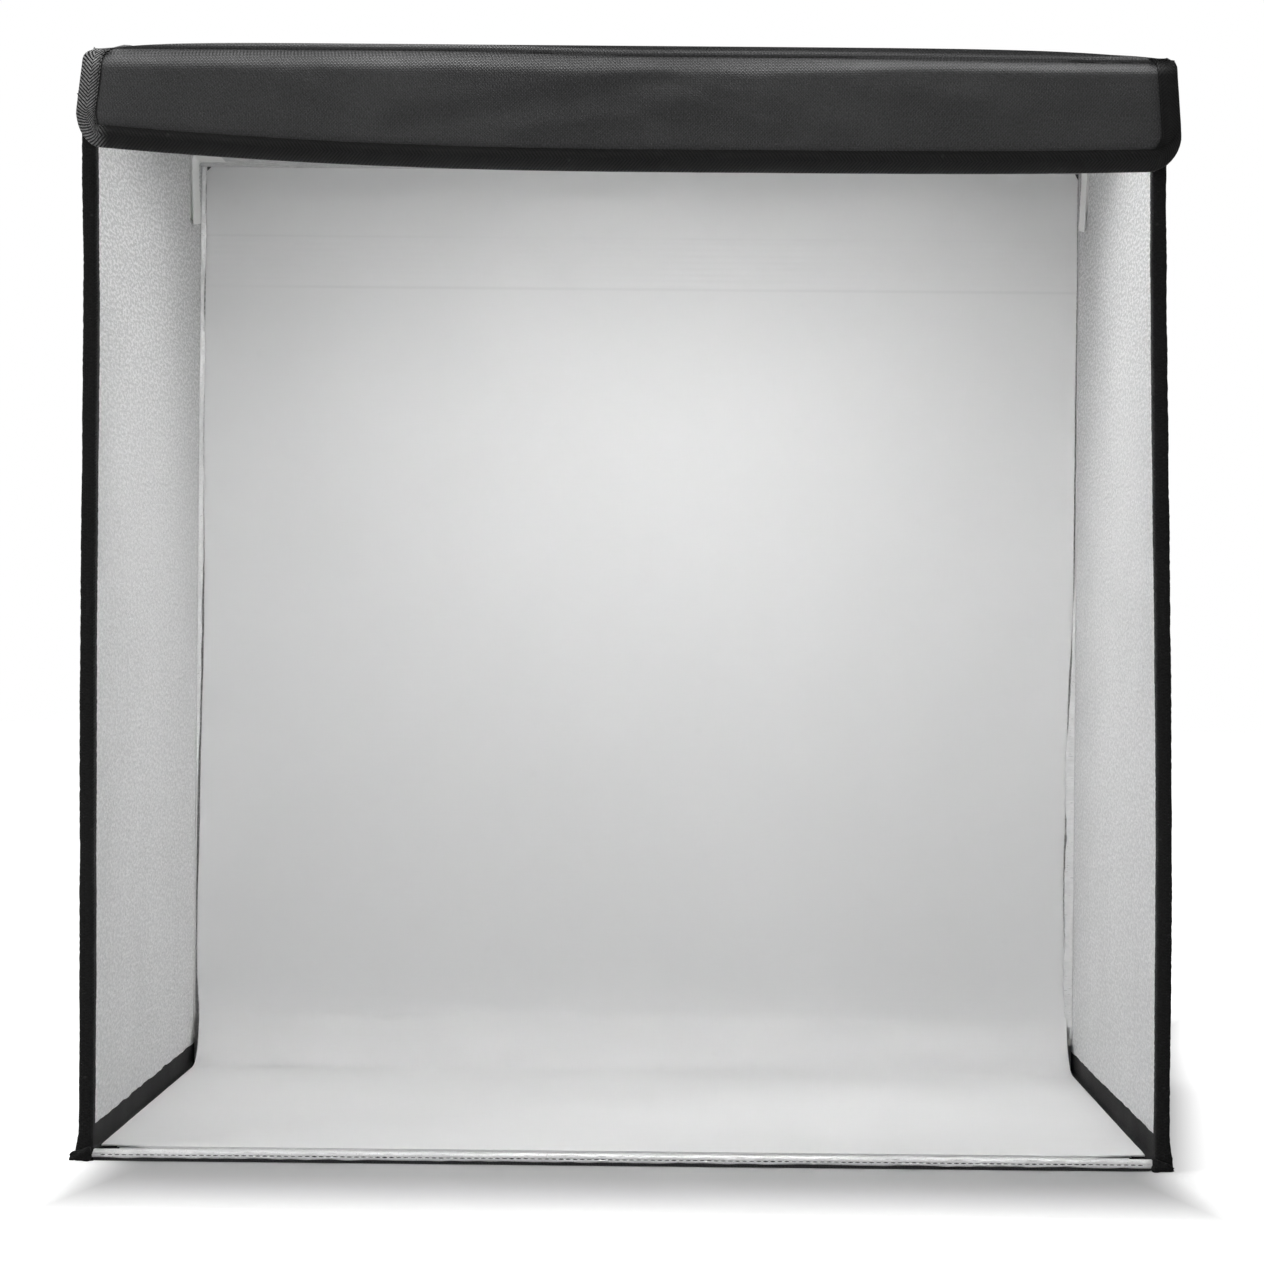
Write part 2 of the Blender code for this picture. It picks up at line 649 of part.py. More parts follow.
def flap_layer(name, depth, thickness, material, collection):
    """One layer of the flap, its front at a depth behind the outer face."""
    columns = flap_columns()

    def place(column, row):
        across = columns[column]
        top = flap_top_edge(across)
        height = top + (flap_low_edge(across) - top) * flap_share(row)
        return Vector((across, flap_front(across, height), height))

    side = 1 + 2 * depth / thickness
    return shaped_grid(
        name,
        len(columns) - 1,
        FLAP_ROWS,
        place,
        thickness,
        side,
        material,
        Matrix.Identity(4),
        collection,
        smooth=True,
    )


def front_flap(materials, collection):
    """The padded flap over the front edge, bound with woven tape round its three free edges."""
    foam_depth = FLAP_COVER + FIT_GAP
    backing_depth = foam_depth + FLAP_FOAM + FIT_GAP
    flap_layer("flap_cover", 0, FLAP_COVER, materials["nylon"], collection)
    flap_layer("flap_foam", foam_depth, FLAP_FOAM, materials["foam"], collection)
    flap_layer("flap_backing", backing_depth, FLAP_BACKING, materials["nylon"], collection)

    outline = flap_outline()
    outset = FLAP_BINDING_GAP
    pitch = (BINDING_LEG + outset) / BINDING_LEG_STEPS
    insets = [BINDING_LEG - pitch * step for step in range(BINDING_LEG_STEPS + 1)]
    front_leg = [(inset, -outset) for inset in insets]
    back_leg = [(inset, FLAP_THICKNESS + outset) for inset in reversed(insets)]
    section = front_leg + back_leg

    def place(column, row):
        (across, height), (inward_across, inward_up) = outline[column]
        inset, depth = section[row]
        at_across = across + inward_across * inset
        at_height = height + inward_up * inset
        return flap_point(at_across, at_height, depth)

    shaped_grid(
        "flap_binding",
        len(outline) - 1,
        len(section) - 1,
        place,
        BINDING_TAPE,
        -1,
        materials["herringbone"],
        Matrix.Identity(4),
        collection,
        smooth=False,
    )


def flap_outline():
    """The flap's free edge from its top left to its top right, each point with its inward direction."""
    half, radius = FLAP_WIDTH / 2, FLAP_CORNER_RADIUS
    straight = flap_half_width_at_bottom_corner()
    top, side_low = flap_top_edge(half), flap_low_edge(half)
    points = []
    for row in range(FLAP_ROWS):
        height = top + (side_low - top) * flap_share(row)
        points.append(((-half, height), (1, 0)))
    for step in range(FLAP_CORNER_STEPS):
        angle = math.pi / 2 * (1 - step / FLAP_CORNER_STEPS)
        across = -(straight + radius * math.sin(angle))
        points.append(((across, flap_low_edge(across)), (math.sin(angle), math.cos(angle))))
    for column in range(FLAP_COLUMNS // 2 + 1):
        across = straight * (2 * column / FLAP_COLUMNS - 1)
        points.append(((across, flap_low_edge(across)), (0, 1)))
    mirrored = [((-across, height), (-side, up)) for (across, height), (side, up) in points[-2::-1]]
    return points + mirrored


def clear_scene():
    """Empties the scene of every object."""
    for obj in list(bpy.data.objects):
        bpy.data.objects.remove(obj)


def main():
    materials = {
        "nylon": new_material("black_nylon", (0.035, 0.035, 0.036), 0.62),
        "tape": new_material("black_binding_tape", (0.016, 0.016, 0.016), 0.8),
        "herringbone": new_material("herringbone_tape", (0.03, 0.03, 0.03), 0.7),
        "board": new_material("panel_board", (0.72, 0.7, 0.66), 0.7),
        "silver": new_material("silver_lining", (0.78, 0.79, 0.8), 0.35, 0.7),
        "backdrop": new_material("white_backdrop", (0.82, 0.82, 0.82), 0.55),
        "hook": new_material("white_hook_and_loop", (0.85, 0.85, 0.84), 0.85),
        "aluminium": new_material("light_bar_aluminium", (0.7, 0.71, 0.72), 0.4, 0.9),
        "circuit": new_material("circuit_strip_white", (0.85, 0.85, 0.83), 0.5),
        "led": new_material("led_phosphor", (0.9, 0.82, 0.35), 0.4),
        "opal": new_material("opal_diffuser", (0.92, 0.92, 0.9), 0.45),
        "cap": new_material("end_cap_grey", (0.2, 0.2, 0.21), 0.5),
        "foam": new_material("flap_foam_grey", (0.25, 0.25, 0.25), 0.9),
    }
    floor(materials, PIECES)
    side_wall("left", -1, materials, PIECES)
    side_wall("right", 1, materials, PIECES)
    back_panel(materials, PIECES)
    top_panel(materials, PIECES)
    light_bar("front", FRONT_BAR_FROM_FRONT, materials, PIECES)
    light_bar("rear", REAR_BAR_FROM_FRONT, materials, PIECES)
    front_flap(materials, PIECES)


clear_scene()
PIECES = new_collection("light_tent_cube")
TOOLS = new_collection("boolean_tools")
main()
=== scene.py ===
"""Looks of the folding light tent cube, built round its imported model.

Metres, +Z up. The origin is the middle of the floor panel's underside and the open front faces -Y.
Each operator makes one piece or one group of like pieces, and the last one makes the stage.
"""

import math
from contextlib import contextmanager

import bpy
from bpy.props import FloatProperty, FloatVectorProperty, PointerProperty
from mathutils import Matrix, Vector, noise


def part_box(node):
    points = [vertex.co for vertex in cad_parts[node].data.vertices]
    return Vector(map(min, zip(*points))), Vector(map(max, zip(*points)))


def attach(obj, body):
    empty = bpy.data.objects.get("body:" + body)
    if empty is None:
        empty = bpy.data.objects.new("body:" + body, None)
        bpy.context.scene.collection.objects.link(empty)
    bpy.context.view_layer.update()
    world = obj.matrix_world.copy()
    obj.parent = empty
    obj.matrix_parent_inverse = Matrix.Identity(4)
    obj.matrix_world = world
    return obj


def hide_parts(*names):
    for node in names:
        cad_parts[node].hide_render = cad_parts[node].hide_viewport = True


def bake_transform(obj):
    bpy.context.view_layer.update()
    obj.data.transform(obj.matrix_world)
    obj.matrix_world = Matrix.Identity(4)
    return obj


bl_info = {
    "name": "Light tent cube",
    "version": (1, 0, 0),
    "blender": (4, 5, 0),
    "location": "View3D > Sidebar > Light Tent",
    "description": "Fabric, film and light bars of a folding light tent cube",
    "category": "Add Mesh",
}

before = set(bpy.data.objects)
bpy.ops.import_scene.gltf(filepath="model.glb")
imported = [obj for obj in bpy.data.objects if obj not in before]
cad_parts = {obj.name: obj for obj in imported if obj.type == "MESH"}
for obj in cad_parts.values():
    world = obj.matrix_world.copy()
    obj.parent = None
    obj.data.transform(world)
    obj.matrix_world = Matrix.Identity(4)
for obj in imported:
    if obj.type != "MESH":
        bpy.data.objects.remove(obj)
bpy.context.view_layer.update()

MM = 0.001
AXIS_X, AXIS_Y, AXIS_Z = Vector((1, 0, 0)), Vector((0, 1, 0)), Vector((0, 0, 1))

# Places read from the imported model
WALL_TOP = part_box("left_wall_outer_skin")[1].z
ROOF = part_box("top_outer_skin")[1].z
FLOOR_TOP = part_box("floor_lining")[1].z
OUTER_HALF_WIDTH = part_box("back_outer_skin")[1].x
OUTER_HALF_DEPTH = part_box("back_outer_skin")[1].y
INNER_HALF_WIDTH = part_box("right_wall_lining")[0].x
BACK_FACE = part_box("back_lining")[0].y
SHEET_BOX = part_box("backdrop_sheet")
SHEET_HALF_WIDTH = SHEET_BOX[1].x
HOOK_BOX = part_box("backdrop_hook_strip")
FLAP_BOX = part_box("flap_cover")
FLAP_HALF_WIDTH = FLAP_BOX[1].x
HEM_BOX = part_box("flap_hinge_hem")
WALL_DEPTH = OUTER_HALF_WIDTH - INNER_HALF_WIDTH

# Gap between a tape and the panel it lies on, and the planes that tapes lie in
CLOTH_GAP = 0.3 * MM
FRONT = -OUTER_HALF_DEPTH - CLOTH_GAP
ON_FLOOR = FLOOR_TOP + CLOTH_GAP
ON_ROOF = ROOF + CLOTH_GAP

# The two sides: their sign along X and their name
HANDS = ((-1, "left"), (1, "right"))
QUARTER_TURN = math.pi / 2

# Threads in one repeat of each weave, and more threads than any cloth here has before its ribs turn
PLAIN_WEAVE, TWILL = 2.0, 4.0
NO_TURN = 100000.0
# The places across between which the herringbone tape's left end, painted light as if lit from the left,
# turns black
PAINTED_LIT_END = (-0.298, -0.287)

# Each panel: the CAD body it rides on, and its outline's across and up directions, from which its inward one
# follows
PANELS = {
    "floor": ("base", AXIS_X, AXIS_Y),
    "left_wall": ("left_wall", AXIS_Y, AXIS_Z),
    "right_wall": ("right_wall", -AXIS_Y, AXIS_Z),
    "back": ("back_panel", AXIS_X, AXIS_Z),
    "top": ("top_panel", AXIS_X, -AXIS_Y),
}


def number(name, description, value, **limits):
    """A number that a user may change."""
    return FloatProperty(name=name, description=description, default=value, **limits)


def size(name, description, millimetres):
    """A length that a user may change, with its default in millimetres."""
    return number(name, description, millimetres * MM, min=0, unit="LENGTH")


def colour(name, description, value):
    """A colour that a user may change."""
    return FloatVectorProperty(
        name=name, description=description, subtype="COLOR", size=3, min=0, max=1, default=value
    )


class PanelSettings(bpy.types.PropertyGroup):
    """Sizes and colours of the fabric pouches and their silver linings"""

    skin: size("Skin thickness", "Thickness of the outer nylon", 0.6)
    corner: size("Edge radius", "Rounding of a pouch's outer edges", 2.0)
    puff: size("Puff", "How far the nylon stands off its board in the middle of a panel", 0.9)
    seam_inset: size("Seam inset", "Distance of the perimeter seam from a panel's edge", 14.0)
    seam_depth: size("Seam depth", "Depth of the groove that the perimeter seam pulls in", 0.45)
    stitch_pitch: size("Stitch pitch", "Distance between two stitches of the perimeter seam", 4.2)
    thread: size("Thread", "Width of the sewing thread", 0.7)
    nylon: colour("Nylon", "Colour of the black outer nylon", (0.05, 0.05, 0.051))
    nylon_thread: size("Nylon thread", "Pitch of the nylon's weave", 0.95)
    lining: colour("Lining", "Colour of the silver lining film", (0.91, 0.91, 0.91))
    pebble: size("Pebble", "Size of the pebbles embossed in the lining film", 2.0)
    lining_wave: size("Lining wave", "How far the lining ripples off its board", 0.7)
    board: colour("Board", "Colour of the stiffening board", (0.72, 0.7, 0.66))


class TapeSettings(bpy.types.PropertyGroup):
    """Sizes and colours of the binding, hinge and hook-and-loop tapes"""

    binding: size("Binding thickness", "Thickness of the fuzzy tape round the wall's front edge", 0.8)
    binding_leg: size("Binding leg", "How far the binding reaches over a wall's faces", 11.0)
    fuzz: size("Fuzz", "Unevenness of the binding's edges and folds", 0.4)
    hinge: size("Hinge tape thickness", "Thickness of the hinge tapes", 0.7)
    black: colour("Black tape", "Colour of the woven black tape", (0.014, 0.014, 0.014))
    black_thread: size("Black tape thread", "Pitch of the black tape's weave", 0.9)
    white: colour("Hook and loop", "Colour of the white hook-and-loop tape", (0.92, 0.92, 0.91))
    silver_hem: colour("Silver hem", "Colour of the folded silver hems", (0.93, 0.93, 0.93))


class BackdropSettings(bpy.types.PropertyGroup):
    """Sizes and colours of the white sweep backdrop"""

    sheet: size("Sheet thickness", "Thickness of the backdrop sheet", 0.8)
    sweep_radius: size("Sweep radius", "Radius of the curve from the floor to the back", 55.0)
    corner_lift: size("Corner lift", "How far the sheet arches up behind its front corners", 0.3)
    front_drop: size("Front drop", "How far the sheet's front edge sinks onto the floor lining", 0.85)
    header_height: size("Header height", "Height of the ribbed band near the sheet's top", 34.0)
    rib_pitch: size("Rib pitch", "Distance between two ribs of the header", 4.2)
    white: colour("White", "Colour of the backdrop sheet", (0.86, 0.86, 0.86))


class FlapSettings(bpy.types.PropertyGroup):
    """Sizes and colours of the padded front flap and its hem"""

    drop: size("Drop", "Height of the flap from the roof to the middle of its lower edge", 62.8)
    lift_left: size("Left lift", "How much higher the lower edge is at its left end", 12.2)
    lift_right: size("Right lift", "How much higher the lower edge is at its right end", 2.9)
    bulge: size("Bulge", "How far the padding bulges forwards", 7.0)
    corner: size("Corner radius", "Radius of the lower corners", 14.0)
    cover: size("Cover thickness", "Thickness of the nylon cover", 0.8)
    foam: size("Foam thickness", "Thickness of the foam", 2.4)
    backing: size("Backing thickness", "Thickness of the backing cloth", 0.6)
    shoulder: size("Shoulder", "Height of the rounded shoulder below the upper seam", 12.0)
    roll: size("Roll", "Height of the rounded part above the lower edge", 8.5)
    pucker: size("Pucker", "Depth of the puckers below the upper seam", 0.5)
    drape: size("Drape", "Depth of the soft folds across the flap", 1.0)
    tape: size("Tape thickness", "Thickness of the herringbone tape", 0.8)
    tape_width: size("Tape width", "How far the herringbone tape reaches over the flap", 11.0)
    tape_thread: size("Tape thread", "Pitch of the herringbone's threads", 0.5)
    herringbone: colour("Herringbone", "Colour of the herringbone tape", (0.007, 0.007, 0.007))
    foam_colour: colour("Foam", "Colour of the foam", (0.25, 0.25, 0.25))


class LightBarSettings(bpy.types.PropertyGroup):
    """Colours and light of the two bars under the ceiling"""

    aluminium: colour("Aluminium", "Colour of the channel", (0.72, 0.73, 0.74))
    opal: colour("Diffuser", "Colour of the diffuser", (0.92, 0.92, 0.9))
    circuit: colour("Circuit", "Colour of the circuit strip", (0.85, 0.85, 0.83))
    phosphor: colour("Phosphor", "Colour of the light-emitting packages", (0.9, 0.78, 0.3))
    end_cap: colour("End cap", "Colour of the end caps and inlets", (0.2, 0.2, 0.21))
    glow: number("Glow", "Strength of the diffuser's light", 43.0, min=0)
    lit_middle: size("Evenly lit half", "How far from its middle the diffuser glows evenly", 100.0)
    lit_end: size("Lit half", "Where the diffuser's glow has faded, from its middle", 238.0)
    screw: size("Screw head", "Diameter of the end caps' screw heads", 3.4)


class StageSettings(bpy.types.PropertyGroup):
    """Camera, lamps and floor"""

    lens: number("Lens", "Focal length on a 36 mm frame", 142.28, min=1, unit="CAMERA")
    camera_x: number("Camera X", "Camera's place across", 0.0316, unit="LENGTH")
    camera_y: number("Camera Y", "Camera's place in front", -3.0618, unit="LENGTH")
    camera_z: number("Camera Z", "Camera's height", 0.286, unit="LENGTH")
    pitch: number("Pitch", "Upward tilt in degrees", 0.193)
    yaw: number("Yaw", "Turn to the left in degrees", 0.587)
    roll: number("Roll", "Clockwise turn of the picture in degrees", 0.541)
    floor: colour("Floor", "Colour of the floor", (0.45, 0.45, 0.45))
    sky: number("Surround light", "Strength of the even light", 0.22, min=0)
    top: number("Top lamp", "Power of the large lamp above", 62.0, min=0, unit="POWER")
    left: number("Left lamp", "Power of the lamp at the front left", 23.5, min=0, unit="POWER")
    front: number("Front lamp", "Power of the lamp at the front right", 5.5, min=0, unit="POWER")


def settings_of(context, name):
    """The property group of that name on the scene."""
    return getattr(context.scene, f"light_tent_{name}")


# Modelling


def deselect():
    """Leaves no object selected."""
    bpy.ops.object.select_all(action="DESELECT")


def take(piece):
    """Selects one object alone and makes it the active one."""
    deselect()
    piece.select_set(True)
    bpy.context.view_layer.objects.active = piece


def named(name):
    """Names the primitive that was just added."""
    piece = bpy.context.object
    piece.name = piece.data.name = name
    return piece


def modify(piece, kind, **values):
    """Adds a modifier with these values and applies it."""
    take(piece)
    modifier = piece.modifiers.new(kind.title(), kind)
    for key, value in values.items():
        setattr(modifier, key, value)
    bpy.ops.object.modifier_apply(modifier=modifier.name)


def grid(name, columns, rows, place):
    """A grid primitive shaped by place(column, row), which gives a point and its spot on the flat cloth."""
    deselect()
    bpy.ops.mesh.primitive_grid_add(x_subdivisions=columns, y_subdivisions=rows, size=2)
    piece = named(name)
    mesh = piece.data
    cells = [
        (round((vertex.co.x + 1) / 2 * columns), round((vertex.co.y + 1) / 2 * rows))
        for vertex in mesh.vertices
    ]
    spots = {}
    for vertex, cell in zip(mesh.vertices, cells):
        vertex.co, spots[cell] = place(*cell)
    layer = mesh.uv_layers[0]
    for loop in mesh.loops:
        layer.data[loop.index].uv = spots[cells[loop.vertex_index]]
    mesh.update()
    return piece


def thicken(piece, thickness, side):
    """Gives a surface its wall. Side 1 grows it along the normals and -1 against them."""
    modify(piece, "SOLIDIFY", thickness=thickness, offset=side, use_even_offset=True)


@contextmanager
def editing(piece, chosen=None):
    """Edit mode on one piece, with all of it selected or only the faces whose normal chosen picks."""
    take(piece)
    if chosen:
        for face in piece.data.polygons:
            face.select = chosen(face.normal)
    bpy.ops.object.mode_set(mode="EDIT")
    if chosen:
        bpy.ops.mesh.select_mode(type="FACE")
    else:
        bpy.ops.mesh.select_all(action="SELECT")
    yield
    bpy.ops.object.mode_set(mode="OBJECT")


def clean(piece):
    """Merges the points that a fold brought together and drops the faces that it flattened."""
    closest = 0.02 * MM
    with editing(piece):
        bpy.ops.mesh.remove_doubles(threshold=closest)
        bpy.ops.mesh.dissolve_degenerate(threshold=closest)


def outwards(piece):
    """Turns every face of a closed piece outwards."""
    with editing(piece):
        bpy.ops.mesh.normals_make_consistent(inside=False)


def centred_box(node):
    """The middle of a CAD node's box and its half sizes."""
    low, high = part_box(node)
    return (low + high) / 2, (high - low) / 2


def cube(name, cuts=0):
    """A cube of half size 1, with its faces cut into a grid."""
    deselect()
    bpy.ops.mesh.primitive_cube_add(size=2)
    piece = named(name)
    if cuts:
        with editing(piece):
            bpy.ops.mesh.subdivide(number_cuts=cuts)
    return piece


def spread_on_faces(piece):
    """Lays a piece's UV map out in metres, each face seen along its main direction."""
    mesh = piece.data
    layer = mesh.uv_layers[0] if mesh.uv_layers else mesh.uv_layers.new(name="UVMap")
    for face in mesh.polygons:
        lean = [abs(part) for part in face.normal]
        first, second = ((1, 2), (0, 2), (0, 1))[lean.index(max(lean))]
        for index in face.loop_indices:
            spot = mesh.vertices[mesh.loops[index].vertex_index].co
            layer.data[index].uv = (spot[first], spot[second])


def finish(piece, material, slot, body=None, smooth=40):
    """Gives a piece its material, its soft shading and the CAD body that it rides on."""
    piece.data.materials.clear()
    piece.data.materials.append(material)
    take(piece)
    bpy.ops.object.shade_smooth_by_angle(angle=math.radians(smooth))
    if body:
        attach(piece, body)


def ripple(point, scale, seed=0.0):
    """A smooth value from about -1 to 1 that changes over the given length in metres."""
    return noise.noise(Vector(point) / scale + Vector((seed, 2.7 * seed, 5.1 * seed)))


def eased(value, start, end):
    """0 before start, 1 after end, and smooth between them."""
    share = min(max((value - start) / (end - start), 0), 1)
    return share * share * (3 - 2 * share)


def at_line(distance, width):
    """1 on a line, falling smoothly to 0 a few widths away from it."""
    return math.exp(-((distance / width) ** 2))


def stitches(name, length, pitch, thread, follow, body):
    """A row of stitches. It is modelled once, arrayed, and laid by follow(along, aside, up)."""
    deselect()
    bpy.ops.mesh.primitive_uv_sphere_add(segments=6, ring_count=4, radius=1, rotation=(0, QUARTER_TURN, 0))
    row = named(name)
    row.scale = (thread * 0.36, thread * 0.5, pitch * 0.39)
    bpy.ops.object.transform_apply(location=True, rotation=True, scale=True)
    count = max(int(length / pitch), 1)
    spacing = {"use_relative_offset": False, "use_constant_offset": True}
    modify(row, "ARRAY", count=count, constant_offset_displace=(pitch, 0, 0), **spacing)
    start = (length - count * pitch) / 2 + pitch / 2
    for vertex in row.data.vertices:
        along, aside, up = vertex.co
        vertex.co = follow(along + start, aside, up + thread * 0.12)
    spread_on_faces(row)
    finish(row, thread_finish(), "black_tape", body, smooth=60)
    return row


def straight(origin, along, aside, up):
    """A follow function for a straight row of stitches."""
    return lambda far, side, height: origin + along * far + aside * side + up * height


# Nodes


class Wiring:
    """Adds nodes to one node tree and joins them."""

    def __init__(self, tree):
        self.tree = tree
        self.nodes = tree.nodes

    def feed(self, socket, value):
        """Links a socket to another, or sets its value."""
        if isinstance(value, bpy.types.NodeSocket):
            self.tree.links.new(value, socket)
        else:
            socket.default_value = value

    def feed_all(self, sockets, values):
        """Feeds sockets by name."""
        for name, value in values.items():
            self.feed(sockets[name.replace("_", " ")], value)

    def math(self, operation, *values):
        """A Math node's result."""
        node = self.nodes.new("ShaderNodeMath")
        node.operation = operation
        for socket, value in zip(node.inputs, values):
            self.feed(socket, value)
        return node.outputs[0]

    def times(self, first, second):
        """A product."""
        return self.math("MULTIPLY", first, second)

    def over(self, first, second):
        """A quotient."""
        return self.math("DIVIDE", first, second)

    def plus(self, first, second):
        """A sum."""
        return self.math("ADD", first, second)

    def minus(self, first, second):
        """A difference."""
        return self.math("SUBTRACT", first, second)

    def ramp(self, value, low, high, to_low=0.0, to_high=1.0):
        """A value eased from one range to another and kept in it."""
        node = self.nodes.new("ShaderNodeMapRange")
        node.interpolation_type = "SMOOTHSTEP"
        for socket, number in zip(node.inputs, (value, low, high, to_low, to_high)):
            self.feed(socket, number)
        return node.outputs[0]

    def mix(self, factor, first, second):
        """A mix of two colours."""
        node = self.nodes.new("ShaderNodeMix")
        node.data_type = "RGBA"
        self.feed(node.inputs[0], factor)
        for socket, value in zip(node.inputs[6:8], (first, second)):
            self.feed(socket, value if isinstance(value, bpy.types.NodeSocket) else (*value[:3], 1.0))
        return node.outputs[2]

    def noise(self, vector, scale, detail=2.0, roughness=0.5):
        """A Noise Texture's value."""
        node = self.nodes.new("ShaderNodeTexNoise")
        self.feed(node.inputs["Vector"], vector)
        self.feed(node.inputs["Scale"], scale)
        node.inputs["Detail"].default_value = detail
        node.inputs["Roughness"].default_value = roughness
        return node.outputs["Fac"]

    def cells(self, vector, scale, feature="SMOOTH_F1", randomness=1.0):
        """A Voronoi Texture's distance."""
        node = self.nodes.new("ShaderNodeTexVoronoi")
        node.feature = feature
        self.feed(node.inputs["Vector"], vector)
        self.feed(node.inputs["Scale"], scale)
        if "Smoothness" in node.inputs:
            node.inputs["Smoothness"].default_value = 0.35
        node.inputs["Randomness"].default_value = randomness
        return node.outputs["Distance"]

    def scaled(self, vector, factors):
        """A vector multiplied part by part."""
        node = self.nodes.new("ShaderNodeVectorMath")
        node.operation = "MULTIPLY"
        self.feed(node.inputs[0], vector)
        self.feed(node.inputs[1], factors)
        return node.outputs[0]

    def split(self, vector):
        """The three parts of a vector."""
        node = self.nodes.new("ShaderNodeSeparateXYZ")
        self.feed(node.inputs[0], vector)
        return node.outputs

    def use(self, group, **values):
        """A node group with these inputs, as its outputs."""
        node = self.nodes.new("ShaderNodeGroup")
        node.node_tree = group
        self.feed_all(node.inputs, values)
        return node.outputs

    def bump(self, height, distance):
        """A Bump node's normal."""
        node = self.nodes.new("ShaderNodeBump")
        node.inputs["Distance"].default_value = distance
        self.feed(node.inputs["Height"], height)
        return node.outputs[0]


def node_group(**inputs):
    """Turns a function that wires a group into one that gives that node group, which is made once."""

    def wrap(wire):
        def give():
            name = wire.__name__
            if name not in bpy.data.node_groups:
                group = bpy.data.node_groups.new(name, "ShaderNodeTree")
                for label, default in inputs.items():
                    kind = "NodeSocketVector" if default is None else "NodeSocketFloat"
                    socket = group.interface.new_socket(label, in_out="INPUT", socket_type=kind)
                    if default is not None:
                        socket.default_value = default
                w = Wiring(group)
                results = wire(w, group.nodes.new("NodeGroupInput").outputs)
                for label in results:
                    group.interface.new_socket(label, in_out="OUTPUT", socket_type="NodeSocketFloat")
                w.feed_all(group.nodes.new("NodeGroupOutput").inputs, results)
            return bpy.data.node_groups[name]

        return give

    return wrap


@node_group(Vector=None, Pitch=0.0006, Repeat=2.0, Turn=NO_TURN, Unevenness=0.1)
def interlaced_threads(w, given):
    """Warp and weft threads. The repeat sets plain weave or twill, and the turn a herringbone's ribs."""
    shift = w.times(w.minus(w.noise(given["Vector"], 240.0), 0.5), given["Unevenness"])
    across, along, _ = w.split(given["Vector"])
    warp = w.plus(w.over(across, given["Pitch"]), shift)
    weft = w.plus(w.over(along, given["Pitch"]), shift)
    step = w.math("PINGPONG", w.math("FLOOR", weft), given["Turn"])
    place = w.math("FLOORED_MODULO", w.plus(w.math("FLOOR", warp), step), given["Repeat"])
    on_top = w.math("LESS_THAN", place, w.times(given["Repeat"], 0.5))

    def crown(value):
        centred = w.minus(w.times(w.math("FRACT", value), 2.0), 1.0)
        return w.minus(1.0, w.times(centred, centred))

    height = w.plus(w.times(on_top, crown(warp)), w.times(w.minus(1.0, on_top), crown(weft)))
    return {"Height": height, "Gaps": w.ramp(height, 0.05, 0.45, 1.0, 0.0), "Warp": on_top}


@node_group(Vector=None, Pebble=0.0026)
def film_pebbles(w, given):
    """The pebbled emboss of a reflective film, with the crowns of the pebbles, which the film paints as
    highlights, and the creases between them.
    """
    scale = w.over(1.0, given["Pebble"])
    coarse = w.cells(given["Vector"], scale)
    fine = w.noise(given["Vector"], w.times(scale, 2.3), 3.0, 0.6)
    drift = w.noise(given["Vector"], w.times(scale, 0.13), 2.0)
    height = w.plus(w.times(w.minus(1.0, coarse), 0.7), w.times(fine, 0.5))
    return {
        "Height": w.plus(height, w.times(drift, 0.6)),
        "Crowns": w.ramp(height, 0.72, 0.95),
        "Creases": w.ramp(coarse, 0.45, 0.75),
    }


@node_group(Vector=None, Patch=0.12, Speck=0.012)
def handling_marks(w, given):
    """Broad uneven patches from handling, and sparse specks of dust."""
    patch = w.over(1.0, given["Patch"])
    speck = w.cells(given["Vector"], w.over(1.0, given["Speck"]), "F1")
    streaks = w.noise(w.scaled(given["Vector"], (1.0, 9.0, 1.0)), w.times(patch, 3.0), 5.0, 0.7)
    return {
        "Patches": w.ramp(w.noise(given["Vector"], patch, 4.0, 0.55), 0.3, 0.7),
        "Specks": w.ramp(speck, 0.03, 0.07, 1.0, 0.0),
        "Scuffs": w.ramp(streaks, 0.62, 0.75),
    }


@node_group(Vector=None, Tuft=0.0011)
def tufted_loops(w, given):
    """The fuzzy field of a hook-and-loop tape."""
    scale = w.over(1.0, given["Tuft"])
    tufts = w.cells(given["Vector"], scale, "F1", 0.7)
    hairs = w.noise(given["Vector"], w.times(scale, 3.0), 4.0, 0.7)
    return {"Height": w.plus(w.minus(1.0, tufts), w.times(hairs, 0.6)), "Hollows": w.ramp(tufts, 0.4, 0.8)}


def shade(value, factor):
    """A colour multiplied by a number."""
    return tuple(min(part * factor, 1.0) for part in value[:3])


def material_of(name, roughness, wire, **constants):
    """The material of that name. If it is missing, wire(w, place) gives what feeds its shader."""
    if name not in bpy.data.materials:
        material = bpy.data.materials.new(name)
        material.use_nodes = True
        w = Wiring(material.node_tree)
        inputs = w.nodes["Principled BSDF"].inputs
        w.feed_all(inputs, {"Roughness": roughness, **constants})
        w.feed_all(inputs, wire(w, w.nodes.new("ShaderNodeTexCoord").outputs))
    return bpy.data.materials[name]


def principled(name, group, roughness, **constants):
    """Turns a function that wires a shader from a settings group into one that gives the material."""

    def wrap(wire):
        def give(*values):
            def wired(w, place):
                return wire(w, place, settings_of(bpy.context, group), *values)

            return material_of(name, roughness, wired, **constants)

        return give

    return wrap


